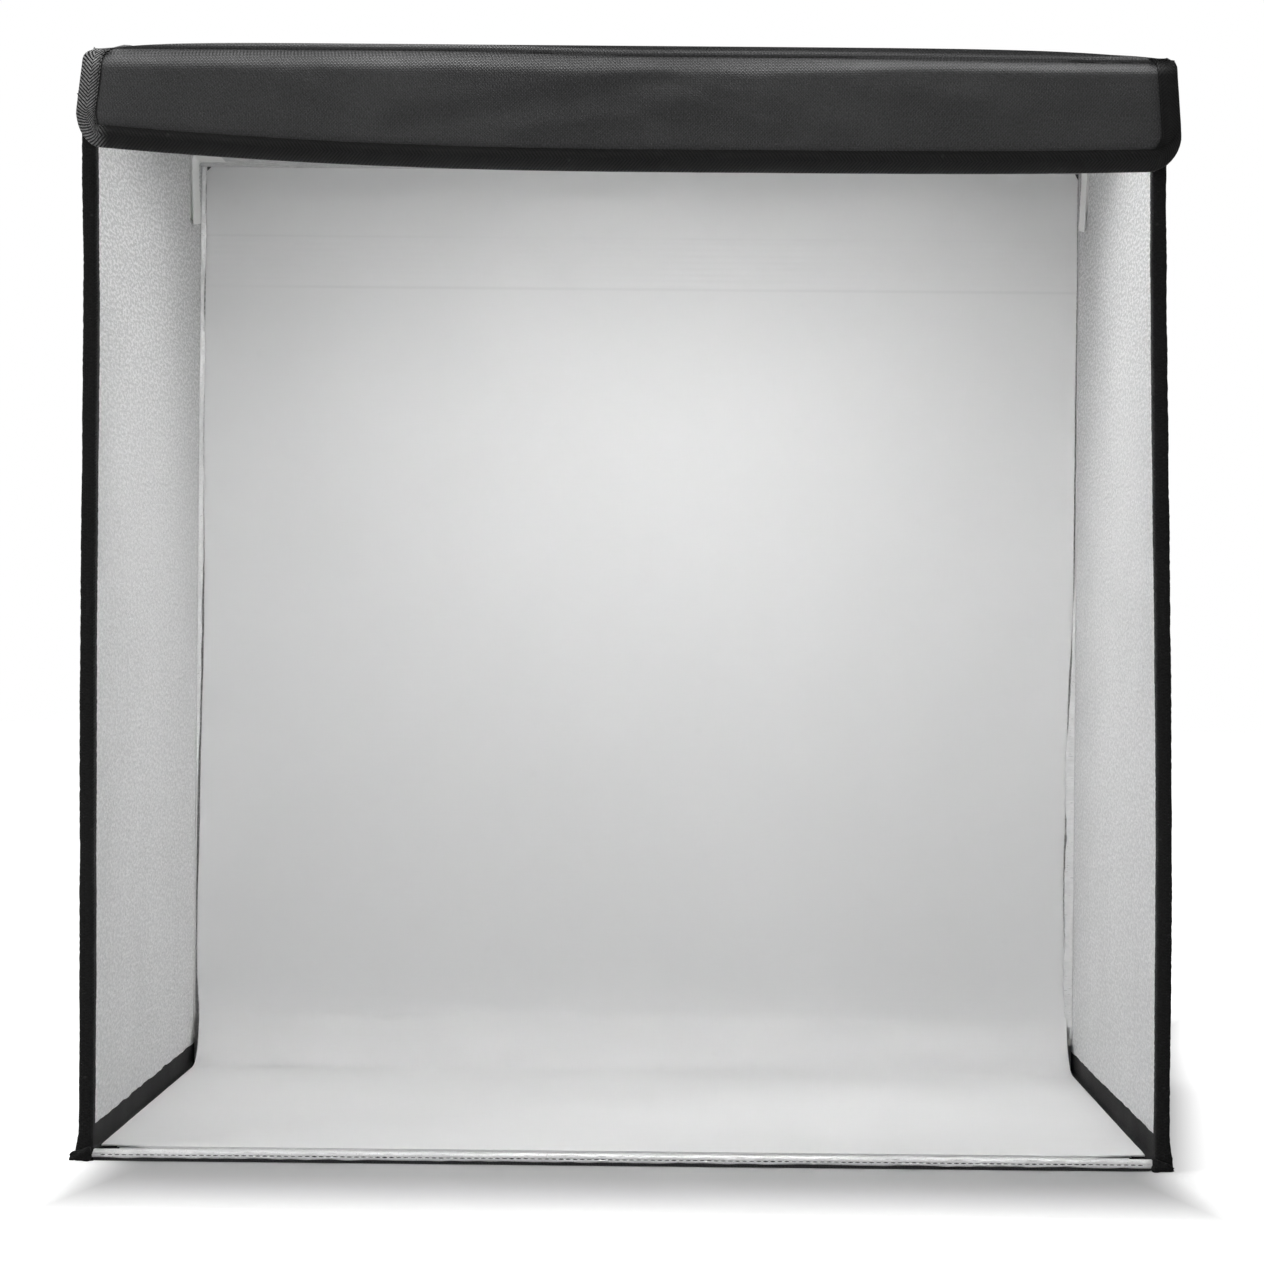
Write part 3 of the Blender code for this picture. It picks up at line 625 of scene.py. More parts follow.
def cloth_finish(name, base, pitch, repeat, **looks):
    """A woven cloth: threads with a painted highlight on those that float on top, painted shade between
    threads, handling patches, dust, and maybe a left end painted light as if lit from the left.
    """
    turn, relief, roughness = looks.pop("turn", NO_TURN), looks.pop("relief"), looks.pop("roughness")
    lit, floats, faded = looks.pop("lit", 1.6), looks.pop("floats", 0.35), looks.pop("faded", None)

    def wire(w, place):
        spot = place["UV"]
        weave = {"Pitch": pitch, "Repeat": repeat, "Turn": turn, "Unevenness": 0.35}
        threads = w.use(interlaced_threads(), Vector=spot, **weave)
        marks = w.use(handling_marks(), Vector=spot, Patch=0.11, Speck=0.016)
        worn = w.mix(marks["Patches"], shade(base, 0.86), shade(base, 1.12))
        # Threads that float on top get a painted highlight, lit times the cloth's colour.
        float_highlight = shade(base, lit)
        # The tape's left end is painted light, standing for light that falls from the left.
        if faded:
            across, _, _ = w.split(place["Object"])
            float_highlight = w.mix(w.ramp(across, *PAINTED_LIT_END, 1.0, 0.0), float_highlight, faded)
        raised = w.mix(w.times(threads["Warp"], floats), worn, float_highlight)
        # Painted shade between the threads.
        gap_shaded = w.mix(w.times(threads["Gaps"], 0.75), raised, shade(base, 0.3))
        slubs = w.noise(w.scaled(spot, (1.0, 0.7, 1.0)), 900.0, 3.0, 0.65)
        mottled = w.mix(w.ramp(slubs, 0.4, 0.62, 0.0, 0.5), gap_shaded, shade(base, 1.9))
        dusty = w.mix(w.times(marks["Specks"], 0.06), mottled, (0.35, 0.35, 0.34))
        return {
            "Base Color": w.mix(w.times(marks["Scuffs"], 0.05), dusty, (0.16, 0.16, 0.16)),
            "Roughness": w.ramp(marks["Patches"], 0.0, 1.0, roughness + 0.06, roughness - 0.06),
            "Normal": w.bump(threads["Height"], pitch * relief),
        }

    return material_of(name, roughness, wire, **looks)


def nylon_finish():
    """The black outer nylon."""
    panels = settings_of(bpy.context, "panels")
    return cloth_finish(
        "black_nylon_cloth", panels.nylon, panels.nylon_thread, PLAIN_WEAVE, relief=0.3, roughness=0.55,
        Sheen_Weight=0.12, Sheen_Roughness=0.45, Specular_IOR_Level=0.4,
    )


def black_tape_finish():
    """The matte black woven tape of the bindings and hinges."""
    tapes = settings_of(bpy.context, "tapes")
    return cloth_finish(
        "black_woven_tape", tapes.black, tapes.black_thread, PLAIN_WEAVE, relief=0.4, roughness=0.85,
        Specular_IOR_Level=0.2,
    )


def herringbone_finish():
    """The herringbone tape round the flap."""
    flap = settings_of(bpy.context, "flap")
    # Its floats get a strong painted highlight, and its left end is painted light as if lit from the left.
    return cloth_finish(
        "black_herringbone_tape", flap.herringbone, flap.tape_thread, TWILL, turn=12.0, relief=0.9,
        roughness=0.55, lit=5.0, floats=0.8, faded=(0.75, 0.75, 0.75), Specular_IOR_Level=0.3,
    )


@principled("black_sewing_thread", "tapes", 0.55, Specular_IOR_Level=0.35)
def thread_finish(w, place, tapes):
    """Black sewing thread."""
    twist = w.noise(place["Object"], 2600.0, 1.0)
    return {
        "Base Color": w.mix(twist, shade(tapes.black, 0.6), shade(tapes.black, 1.4)),
        "Normal": w.bump(twist, 0.1 * MM),
    }


def film_finish(name, base, pebble, metallic, roughness, relief, shade_strength=1.0):
    """Pebbled silver film, scuffed here and there, with painted shade in its creases, on facets of its
    relief and towards its top, and painted highlights on its pebbles' crowns.
    """

    def wire(w, place):
        spot = place["UV"]
        pebbles = w.use(film_pebbles(), Vector=spot, Pebble=pebble)
        marks = w.use(handling_marks(), Vector=spot, Patch=0.2, Speck=0.03)
        worn = w.mix(marks["Patches"], shade(base, 0.94), base)
        _, _, height = w.split(place["Object"])
        # Painted shade: the film is darker towards its top, where less light reaches, and on long facets
        # that stand for its relief's shading under grazing light.
        facet_shade_by_height = w.ramp(height, 0.34, 0.52, 0.3 * shade_strength, 0.95 * shade_strength)
        facets = w.noise(w.scaled(spot, (0.2, 1.0, 1.0)), 540.0, 2.0, 0.6)
        shaded_to_top = w.mix(w.ramp(height, 0.15, 0.5, 0.0, shade_strength), worn, shade(base, 0.8))
        facet_shaded = w.mix(w.times(w.ramp(facets, 0.42, 0.56), facet_shade_by_height), shaded_to_top, shade(base, 0.5))
        # The creases between pebbles get painted shade.
        pebble_crease_shaded = w.mix(w.times(pebbles["Creases"], 0.4 * shade_strength), facet_shaded, shade(base, 0.62))
        crowns = w.ramp(pebbles["Crowns"], 0.0, 1.0, roughness + 0.06, roughness - 0.12)
        return {
            # The pebbles' crowns get a painted highlight.
            "Base Color": w.mix(w.times(pebbles["Crowns"], 0.6), pebble_crease_shaded, shade(base, 1.25)),
            "Roughness": w.plus(crowns, w.times(marks["Scuffs"], 0.12)),
            "Normal": w.bump(pebbles["Height"], relief),
        }

    return material_of(name, roughness, wire, Metallic=metallic)


def lining_finish():
    """The silver lining of the panels."""
    panels = settings_of(bpy.context, "panels")
    return film_finish("silver_pebbled_lining", panels.lining, panels.pebble, 0.35, 0.42, 0.8 * MM)


def silver_hem_finish():
    """The brighter folded hems of the lining film."""
    tapes = settings_of(bpy.context, "tapes")
    return film_finish("silver_folded_hem", tapes.silver_hem, 1.8 * MM, 0.2, 0.3, 0.35 * MM, shade_strength=0.3)


@principled("white_hook_and_loop", "tapes", 0.85, Sheen_Weight=0.15, Specular_IOR_Level=0.25)
def hook_finish(w, place, tapes):
    """White hook-and-loop tape, with painted shade in the hollows between its tufts."""
    tufts = w.use(tufted_loops(), Vector=place["UV"], Tuft=1.1 * MM)
    marks = w.use(handling_marks(), Vector=place["UV"], Patch=0.04, Speck=0.01)
    worn = w.mix(marks["Patches"], shade(tapes.white, 0.95), tapes.white)
    return {
        # The hollows between tufts get painted shade.
        "Base Color": w.mix(w.times(tufts["Hollows"], 0.15), worn, shade(tapes.white, 0.7)),
        "Normal": w.bump(tufts["Height"], 0.35 * MM),
    }


@principled("white_backdrop_sheet", "backdrop", 0.62, Specular_IOR_Level=0.3, Sheen_Weight=0.05)
def backdrop_finish(w, place, backdrop, header_low, header_high):
    """Matte white sheet: a fine fleece, ribs across its header with a faint painted shade on them, painted
    shade along the creases at the header's edges, and a faint sheen of handling.
    """
    spot = place["UV"]
    marks = w.use(handling_marks(), Vector=spot, Patch=0.25, Speck=0.05)
    fibres = w.noise(w.scaled(spot, (1.0, 2.2, 1.0)), 900.0, 3.0, 0.6)
    across, along, _ = w.split(spot)
    blur = 2 * MM
    band = w.times(
        w.ramp(along, header_low - blur, header_low + blur),
        w.ramp(along, header_high - blur, header_high + blur, 1.0, 0.0),
    )
    wander = w.times(w.noise(w.scaled(spot, (6.0, 60.0, 1.0)), 1.0, 3.0), 2.5)
    rib = w.math("SINE", w.plus(w.times(along, 2 * math.pi / backdrop.rib_pitch), wander))
    ribs = w.times(rib, w.plus(w.times(band, 0.35), 0.05))
    tone = w.mix(marks["Patches"], shade(backdrop.white, 0.985), backdrop.white)
    # The ribs get a faint painted shade.
    rib_shaded = w.mix(w.times(w.ramp(ribs, 0.2, 1.0), 0.05), tone, shade(backdrop.white, 0.8))
    # Painted shade along the creases at the header's lower and upper edges, fading across the sheet.
    creases = []
    for line, reach, depth, *fading in (
        (header_low, 1.6 * MM, 0.15, -0.28, -0.2, 0.4, 1.0),
        (header_high, 1.2 * MM, 0.12, -0.24, -0.08, 1.0, 0.2),
    ):
        far = w.math("ABSOLUTE", w.minus(along, line))
        creases.append(w.times(w.ramp(far, 0.2 * MM, reach, depth, 0.0), w.ramp(across, *fading)))
    crease_shaded = w.mix(w.plus(*creases), rib_shaded, shade(backdrop.white, 0.62))
    return {
        "Base Color": w.mix(w.times(marks["Specks"], 0.03), crease_shaded, (0.5, 0.5, 0.5)),
        "Normal": w.bump(w.plus(w.times(ribs, 0.5), w.times(fibres, 0.25)), 0.18 * MM),
        "Roughness": w.ramp(marks["Patches"], 0.0, 1.0, 0.66, 0.56),
    }


@principled("pulp_board", "panels", 0.85, Specular_IOR_Level=0.2)
def board_finish(w, place, panels):
    """Pulped grey board with flecks."""
    pulp = w.noise(place["Object"], 420.0, 5.0, 0.65)
    flecks = w.cells(place["Object"], 160.0, "F1")
    tone = w.mix(pulp, shade(panels.board, 0.86), panels.board)
    return {
        "Base Color": w.mix(w.ramp(flecks, 0.05, 0.12, 0.5, 0.0), tone, (0.34, 0.31, 0.27)),
        "Normal": w.bump(pulp, 0.2 * MM),
    }


@principled("grey_foam", "flap", 0.95, Specular_IOR_Level=0.1)
def foam_finish(w, place, flap):
    """Open-celled grey foam, with painted shade where its cells sink in."""
    cells = w.cells(place["Object"], 900.0)
    return {
        # Where the cells sink in, the foam is painted darker as shade.
        "Base Color": w.mix(w.ramp(cells, 0.2, 0.7), flap.foam_colour, shade(flap.foam_colour, 0.5)),
        "Normal": w.bump(cells, -0.5 * MM),
    }


@principled("satin_extruded_aluminium", "bars", 0.38, Metallic=0.95)
def aluminium_finish(w, place, bars):
    """Satin extruded aluminium, drawn along the bar."""
    drawn = w.noise(w.scaled(place["Object"], (12.0, 2600.0, 2600.0)), 1.0, 3.0, 0.6)
    marks = w.use(handling_marks(), Vector=place["Object"], Patch=0.06, Speck=0.01)
    tone = w.mix(drawn, shade(bars.aluminium, 0.88), bars.aluminium)
    return {
        "Base Color": w.mix(w.times(marks["Scuffs"], 0.3), tone, (0.5, 0.5, 0.5)),
        "Roughness": w.ramp(drawn, 0.2, 0.8, 0.3, 0.46),
        "Normal": w.bump(drawn, 0.03 * MM),
    }


@principled("white_solder_mask", "bars", 0.4)
def circuit_finish(w, place, bars, circuit_low):
    """White solder mask with yellow light-emitting packages standing below it."""
    _, _, height = w.split(place["Object"])
    package = w.math("LESS_THAN", height, circuit_low - 0.1 * MM)
    grain = w.noise(place["Object"], 1500.0, 2.0)
    mask = w.mix(grain, shade(bars.circuit, 0.93), bars.circuit)
    return {"Base Color": w.mix(package, mask, bars.phosphor), "Normal": w.bump(grain, 0.02 * MM)}


@principled("glowing_opal", "bars", 0.5)
def opal_finish(w, place, bars):
    """The glowing opal diffuser, lit a little to the right of its middle."""
    across, _, _ = w.split(place["Object"])
    from_middle = w.math("ABSOLUTE", w.minus(across, 20 * MM))
    lit = w.ramp(from_middle, bars.lit_middle, bars.lit_end, 1.0, 0.07)
    haze = w.noise(w.scaled(place["Object"], (1.0, 6.0, 6.0)), 60.0, 3.0)
    return {
        "Emission Strength": w.times(lit, bars.glow),
        "Base Color": w.mix(haze, shade(bars.opal, 0.95), bars.opal),
        "Emission Color": w.mix(haze, (0.94, 0.94, 0.94), (1.0, 1.0, 1.0)),
        "Normal": w.bump(w.noise(place["Object"], 900.0, 2.0), 0.03 * MM),
    }


@principled("textured_grey_plastic", "bars", 0.5)
def cap_finish(w, place, bars):
    """Fine-textured grey plastic."""
    grain = w.cells(place["Object"], 1800.0)
    marks = w.use(handling_marks(), Vector=place["Object"], Patch=0.02, Speck=0.006)
    tone = w.mix(marks["Patches"], shade(bars.end_cap, 0.85), shade(bars.end_cap, 1.1))
    return {
        "Base Color": w.mix(w.times(marks["Scuffs"], 0.3), tone, (0.4, 0.4, 0.4)),
        "Roughness": w.ramp(grain, 0.1, 0.7, 0.42, 0.6),
        "Normal": w.bump(grain, 0.05 * MM),
    }


@principled("zinc_plated_steel", "bars", 0.3, Metallic=1.0)
def screw_finish(w, place, bars):
    """Zinc-plated steel."""
    grain = w.noise(place["Object"], 1600.0, 3.0)
    return {
        "Base Color": w.mix(grain, (0.5, 0.51, 0.52), (0.66, 0.67, 0.68)),
        "Roughness": w.ramp(grain, 0.2, 0.8, 0.22, 0.4),
    }


@principled("pale_floor", "stage", 0.9, Specular_IOR_Level=0.0, Emission_Color=(1, 1, 1, 1))
def floor_finish(w, place, stage):
    """The pale floor, painted white by light that only the camera sees, fading in round the tent and its
    shadow.
    """
    grain = w.noise(place["Object"], 3.0, 3.0)
    x, y, _ = w.split(place["Object"])
    behind_front = w.math("MAXIMUM", w.plus(y, OUTER_HALF_DEPTH), 0.0)
    aside = w.minus(w.math("ABSOLUTE", w.minus(x, 8 * MM)), w.times(behind_front, 0.1))
    # Painted light: camera-only light whitens the floor beyond a band in front of and beside the tent, where
    # the grey floor and the tent's real shadow show.
    white, *others = (
        w.ramp(far, edge + start, edge + end)
        for far, edge, start, end in (
            (y, OUTER_HALF_DEPTH, 0.25, 0.8),
            (w.times(y, -1.0), OUTER_HALF_DEPTH, 0.04, 0.4),
            (aside, OUTER_HALF_WIDTH, -0.03, 0.025),
        )
    )
    for fade in others:
        white = w.math("MAXIMUM", white, fade)
    seen = w.nodes.new("ShaderNodeLightPath").outputs["Is Camera Ray"]
    tone = w.mix(grain, shade(stage.floor, 0.99), stage.floor)
    return {"Base Color": tone, "Emission Strength": w.times(seen, white)}


# Panels


def panel_frame(name):
    """A panel's middle of its outer face, its across, up and inward directions, and its half sizes."""
    _, across, up = PANELS[name]
    inward = across.cross(up)
    low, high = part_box(f"{name}_outer_skin")
    middle = (low + high) / 2
    half = [abs((high - low).dot(axis)) / 2 for axis in (across, up, inward)]
    return middle - inward * half[2], across, up, inward, half[0], half[1], 2 * half[2]


def wall_bow(side, y, z):
    """How far a side wall leans outwards at a place: its front edge gives way more than its back."""
    if side < 0:
        lean = -1.0 + 1.8 * eased(z, 0.02, 0.33) + 2.0 * eased(z, 0.45, 0.6)
    else:
        lean = 1.5 - 6.9 * eased(z, 0.12, 0.6)
    return lean * MM * (1 - eased(y, -0.26, 0.19))


def bow(piece, name):
    """Leans the points of a side wall's piece."""
    side = {"left_wall": -1, "right_wall": 1}.get(name)
    if side:
        for vertex in piece.data.vertices:
            vertex.co.x += side * wall_bow(side, vertex.co.y, vertex.co.z)
        piece.data.update()


def cloth_stations(half, depth, radius, seam, cells):
    """Distances across a pouch's flat cloth: its face, its seam, its rounded edge and its side."""
    inner = half - seam - 5 * MM
    middle = [inner * (2 * index / cells - 1) for index in range(cells + 1)]
    seam_line = [half - seam + step * MM for step in (-2.2, -1, 0, 1, 2.2, 5)]
    edge = half - radius
    arc = [edge + radius * QUARTER_TURN * step / 3 for step in range(4)]
    side = [arc[-1] + (depth - radius) * step / 2 for step in (1, 2)]
    rim = [value for value in seam_line if value < edge - 0.5 * MM] + arc + side
    return [-value for value in reversed(rim)] + middle + rim


def roll_over(spot, half, radius):
    """Where a spot of the flat cloth lies across a pouch, and how far down its side."""
    far = abs(spot)
    angle = (far - (half - radius)) / radius
    if angle <= 0:
        place, drop = far, 0.0
    elif angle <= QUARTER_TURN:
        place, drop = half - radius + radius * math.sin(angle), radius * (1 - math.cos(angle))
    else:
        place, drop = half, radius + (far - (half - radius) - radius * QUARTER_TURN)
    return math.copysign(place, spot), drop


def pouch_skin(name, panels):
    """The nylon pouch of one panel: its face puffed off the board, and a seam pulled in round it."""
    origin, across, up, inward, half_width, half_height, depth = panel_frame(name)
    seam, radius = panels.seam_inset, panels.corner
    puff = 0.0 if name == "floor" else panels.puff
    columns = cloth_stations(half_width, depth, radius, seam, 26)
    rows = cloth_stations(half_height, depth, radius, seam, 26)

    def place(column, row):
        spot = columns[column], rows[row]
        x, drop_x = roll_over(spot[0], half_width, radius)
        y, drop_y = roll_over(spot[1], half_height, radius)
        drop = max(drop_x, drop_y)
        to_edge = min(half_width - abs(x), half_height - abs(y))
        fade = eased(to_edge, 26 * MM, 110 * MM)
        wander = ripple((x, y, 0.31), 0.11, len(name)) + 0.5 * ripple((x, y, 0.77), 0.04, len(name))
        out = puff * fade * (0.65 + 0.5 * wander)
        groove = panels.seam_depth * at_line(to_edge - seam, 1.1 * MM)
        if drop > 0:
            out, groove = 0.0, 0.0
        return origin + across * x + up * y + inward * (drop + min(groove, 0.25 * MM) - out), spot

    skin = grid(f"{name}_nylon", len(columns) - 1, len(rows) - 1, place)
    clean(skin)
    thicken(skin, panels.skin, 1)
    bow(skin, name)
    body = PANELS[name][0]
    finish(skin, nylon_finish(), "black_nylon", body, smooth=35)
    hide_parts(f"{name}_outer_skin")


def pouch_seam(name, panels):
    """The four rows of stitches round one panel's outer face."""
    origin, across, up, inward, half_width, half_height, _ = panel_frame(name)
    inset = panels.seam_inset
    rows = (
        ("low", across, up, half_width, half_height),
        ("high", -across, -up, half_width, half_height),
        ("near", up, -across, half_height, half_width),
        ("far", -up, across, half_height, half_width),
    )
    for label, along, aside, run, reach in rows:
        start = origin - along * (run - inset) - aside * (reach - inset) + inward * 0.2 * MM
        row = stitches(
            f"{name}_seam_{label}", 2 * (run - inset), panels.stitch_pitch, panels.thread,
            straight(start, along, aside, -inward), PANELS[name][0],
        )
        bow(row, name)


def panel_lining(name, panels):
    """The silver film over the inside of one panel, rippled where nothing is fixed to it."""
    low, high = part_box(f"{name}_lining")
    _, across, up, inward, *_ = panel_frame(name)
    middle = (low + high) / 2 + inward * 0.25 * MM
    rim = 0.7 * MM
    half_width = abs((high - low).dot(across)) / 2 + rim
    half_height = abs((high - low).dot(up)) / 2 + rim
    thickness = abs((high - low).dot(inward))
    free = name.endswith("wall")
    wave = panels.lining_wave if free else 0.2 * MM
    cells = 72

    def place(column, row):
        x = half_width * (2 * column / cells - 1)
        y = half_height * (2 * row / cells - 1)
        to_edge = min(half_width - abs(x), half_height - abs(y))
        fade = eased(to_edge, 22 * MM, 70 * MM)
        wander = ripple((x, y, 0.2), 0.09, len(name)) + 0.5 * ripple((x, y, 0.9), 0.03, len(name))
        rise = wave * fade * max(0.5 + 0.6 * wander, 0)
        return middle + across * x + up * y + inward * (rise - thickness / 2), (x, y)

    lining = grid(f"{name}_silver_lining", cells, cells, place)
    thicken(lining, thickness, 1)
    bow(lining, name)
    finish(lining, lining_finish(), "silver_lining", PANELS[name][0])
    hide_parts(f"{name}_lining")


class LIGHTTENT_OT_panel_skins(bpy.types.Operator):
    """Makes the five nylon pouches and the seams round them"""

    bl_idname = "light_tent.panel_skins"
    bl_label = "Panel skins"

    def execute(self, context):
        panels = settings_of(context, "panels")
        for name in PANELS:
            pouch_skin(name, panels)
            pouch_seam(name, panels)
        return {"FINISHED"}


def panel_board(name):
    """The stiffening board inside one panel."""
    middle, half = centred_box(f"{name}_board")
    board = cube(f"{name}_pulp_board", 9)
    for vertex in board.data.vertices:
        vertex.co = middle + Vector(part * reach for part, reach in zip(vertex.co, half))
    bow(board, name)
    spread_on_faces(board)
    finish(board, board_finish(), "panel_board", PANELS[name][0], smooth=30)
    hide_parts(f"{name}_board")


class LIGHTTENT_OT_panel_linings(bpy.types.Operator):
    """Makes the silver linings and the boards behind them"""

    bl_idname = "light_tent.panel_linings"
    bl_label = "Panel linings"

    def execute(self, context):
        panels = settings_of(context, "panels")
        for name in PANELS:
            panel_lining(name, panels)
            panel_board(name)
        return {"FINISHED"}


def show_node(node, material):
    """Gives a CAD node that stays its finish."""
    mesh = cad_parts[node].data
    mesh.materials.clear()
    mesh.materials.append(material)


# Tapes


def folded_tape(name, section, steps, run, place, thickness, side):
    """A tape folded along its run. The section gives its fold points and place lays them in the room."""
    lengths = [0.0]
    for first, second in zip(section, section[1:]):
        lengths.append(lengths[-1] + math.dist(first, second))

    def lay(column, row):
        along = run[0] + (run[1] - run[0]) * column / steps
        return place(along, row, section[row]), (along, lengths[row])

    tape = grid(name, steps, len(section) - 1, lay)
    thicken(tape, thickness, side)
    return tape


def rounded(points, radius, steps):
    """A line of points with its inner corners rounded."""
    result = [points[0]]
    for before, corner, after in zip(points, points[1:], points[2:]):
        into = (Vector(before) - Vector(corner)).normalized()
        out = (Vector(after) - Vector(corner)).normalized()
        for step in range(steps + 1):
            share = step / steps
            start, end = Vector(corner) + into * radius, Vector(corner) + out * radius
            first = start.lerp(Vector(corner), share)
            second = Vector(corner).lerp(end, share)
            result.append(tuple(first.lerp(second, share)))
    result.append(points[-1])
    return result


def halved(points, longest):
    """A line of points with its long stretches cut into even parts."""
    result = [points[0]]
    for first, second in zip(points, points[1:]):
        parts = max(math.ceil(math.dist(first, second) / longest), 1)
        for part in range(1, parts + 1):
            result.append(tuple(Vector(first).lerp(Vector(second), part / parts)))
    return result


class LIGHTTENT_OT_wall_bindings(bpy.types.Operator):
    """Makes the fuzzy black bindings round the front edges of the side walls"""

    bl_idname = "light_tent.wall_bindings"
    bl_label = "Wall bindings"

    def execute(self, context):
        tapes, panels = settings_of(context, "tapes"), settings_of(context, "panels")
        outer, inner, leg = -CLOTH_GAP, WALL_DEPTH + CLOTH_GAP, FRONT + tapes.binding_leg
        corners = [(leg, outer), (FRONT, outer), (FRONT, inner), (leg, inner)]
        section = halved(rounded(corners, 1.6 * MM, 4), 2.6 * MM)
        rims = 0, len(section) - 1
        steps = int(WALL_TOP / (1.8 * MM))
        end = 4 * MM
        for side, hand in HANDS:

            def place(along, row, spot, side=side):
                y, deep = spot
                fuzz = tapes.fuzz * ripple((along, row * 0.9 * MM, side), 2.3 * MM)
                slow = tapes.fuzz * 1.2 * ripple((along, side, 0.4), 26 * MM)
                at_floor = eased(along, 8 * MM, 16 * MM)
                foot = 1 - eased(along, 3 * MM, 18 * MM)
                if row in rims:
                    y += 0.8 * fuzz + 0.5 * tapes.fuzz * math.sin(along / (5.3 * MM) + 2 * slow / tapes.fuzz)
                outside = deep < WALL_DEPTH / 2
                swell = (0.4 * MM + 0.7 * fuzz + 0.8 * slow) * (1 if outside else 0.8 * at_floor)
                deep += -max(swell, 0) if outside else max(swell, 0)
                deep -= (1.8 * MM if outside else -0.6 * MM) * foot
                if row not in rims:
                    y -= 0.3 * max(fuzz + slow, 0) + 0.5 * MM * foot
                return Vector((side * (OUTER_HALF_WIDTH - deep), y, along))

            name = f"{hand}_wall_fuzzy_binding"
            tape = folded_tape(name, section, steps, (0, WALL_TOP), place, tapes.binding, side)
            bow(tape, f"{hand}_wall")
            finish(tape, black_tape_finish(), "black_tape", f"{hand}_wall", smooth=50)
            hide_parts(f"{hand}_wall_binding")
            for label, deep, facing in (("outer", outer, 1), ("inner", inner, -1)):
                lift = tapes.binding + 0.25 * MM
                start = Vector((side * (OUTER_HALF_WIDTH - deep + facing * lift), leg - 2.6 * MM, end))
                follow = straight(start, AXIS_Z, AXIS_Y, AXIS_X * side * facing)
                row = stitches(
                    f"{hand}_wall_binding_stitches_{label}", WALL_TOP - 2 * end, 3.6 * MM,
                    panels.thread * 0.8, follow, f"{hand}_wall",
                )
                bow(row, f"{hand}_wall")
        return {"FINISHED"}


class LIGHTTENT_OT_wall_back_hems(bpy.types.Operator):
    """Makes the wavy silver hems along the back edges of the side walls"""

    bl_idname = "light_tent.wall_back_hems"
    bl_label = "Wall back hems"

    def execute(self, context):
        for side, hand in HANDS:
            low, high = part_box(f"{hand}_wall_back_hem")
            outer, inner, back = -CLOTH_GAP, WALL_DEPTH + CLOTH_GAP, high.y - 0.5 * MM
            corners = [(low.y, outer), (back, outer), (back, inner), (low.y, inner)]
            section = halved(rounded(corners, 1.0 * MM, 3), 1.7 * MM)

            def place(along, row, spot, side=side, low=low, back=back):
                y, deep = spot
                if deep > WALL_DEPTH:
                    share = min(max((back - y) / (back - low.y), 0), 1)
                    swing = 0.8 + 0.35 * ripple((along, side, 0.1), 40 * MM)
                    swing += 0.18 * ripple((along, row * 2 * MM, 0.8), 6 * MM)
                    wave = 3.1 * eased(along, 0.12, 0.32)
                    if side > 0:
                        wave = 6.0 * (1 - eased(along, 0.2, 0.36))
                    deep += (0.2 + wave) * MM * min(max(swing, 0), 1) * math.sin(math.pi * share**2.2)
                    y += 0.6 * MM * share * ripple((along, side, 0.6), 17 * MM)
                return Vector((side * (OUTER_HALF_WIDTH - deep), y, along))

            steps = int((high.z - low.z) / (2.6 * MM))
            name, run = f"{hand}_wall_silver_back_hem", (low.z, high.z)
            hem = folded_tape(name, section, steps, run, place, 0.5 * MM, -side)
            bow(hem, f"{hand}_wall")
            finish(hem, silver_hem_finish(), "silver_lining", f"{hand}_wall", smooth=50)
            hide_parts(f"{hand}_wall_back_hem")
        return {"FINISHED"}


class LIGHTTENT_OT_hinge_tapes(bpy.types.Operator):
    """Makes the three black hinge tapes inside, along the feet of the walls and the back panel"""

    bl_idname = "light_tent.hinge_tapes"
    bl_label = "Inside hinge tapes"

    def execute(self, context):
        tapes = settings_of(context, "tapes")
        for side, hand in HANDS:
            low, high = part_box(f"{hand}_hinge_tape")
            face = INNER_HALF_WIDTH - CLOTH_GAP
            inner = min(abs(low.x), abs(high.x))
            corners = [(face, high.z - 3.8 * MM), (face, ON_FLOOR), (inner, ON_FLOOR)]
            section = halved(rounded(corners, 2.0 * MM, 4), 2.6 * MM)
            last = len(section) - 1

            def place(along, row, spot, side=side, last=last, low=low):
                x, z = spot
                if row == 0:
                    z += 0.9 * MM * ripple((along, side, 0.3), 24 * MM)
                    z += 0.25 * MM * ripple((along, side, 0.8), 4 * MM)
                if row == last:
                    x += 0.6 * MM * ripple((along, side, 0.5), 20 * MM)
                front = 1 - eased(along - low.y, 0, 6 * MM)
                if row > last - 4:
                    z += 1.0 * MM * front
                    x -= 2.4 * MM * front * (row - last + 4) / 4
                return Vector((side * x, along, z))

            steps = int((high.y - low.y) / (3.5 * MM))
            run = low.y, high.y
            tape = folded_tape(f"{hand}_woven_hinge_tape", section, steps, run, place, tapes.hinge, -side)
            bow(tape, f"{hand}_wall")
            finish(tape, black_tape_finish(), "black_tape", smooth=50)
            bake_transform(tape)
            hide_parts(f"{hand}_hinge_tape")

        low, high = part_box("rear_hinge_tape")
        face = BACK_FACE - CLOTH_GAP
        corners = [(face, high.z), (face, ON_FLOOR), (low.y, ON_FLOOR)]
        section = halved(rounded(corners, 2.0 * MM, 4), 2.6 * MM)
        last = len(section) - 1

        def place_rear(along, row, spot):
            y, z = spot
            if row == 0:
                z += 0.8 * MM * ripple((along, 0.2, 0.6), 25 * MM)
            if row == last:
                y += 0.4 * MM * ripple((along, 0.5, 0.1), 22 * MM)
            return Vector((along, y, z))

        steps = int((high.x - low.x) / (3.5 * MM))
        run = low.x, high.x
        tape = folded_tape("rear_woven_hinge_tape", section, steps, run, place_rear, tapes.hinge, 1)
        finish(tape, black_tape_finish(), "black_tape", smooth=50)
        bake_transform(tape)
        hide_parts("rear_hinge_tape")
        return {"FINISHED"}


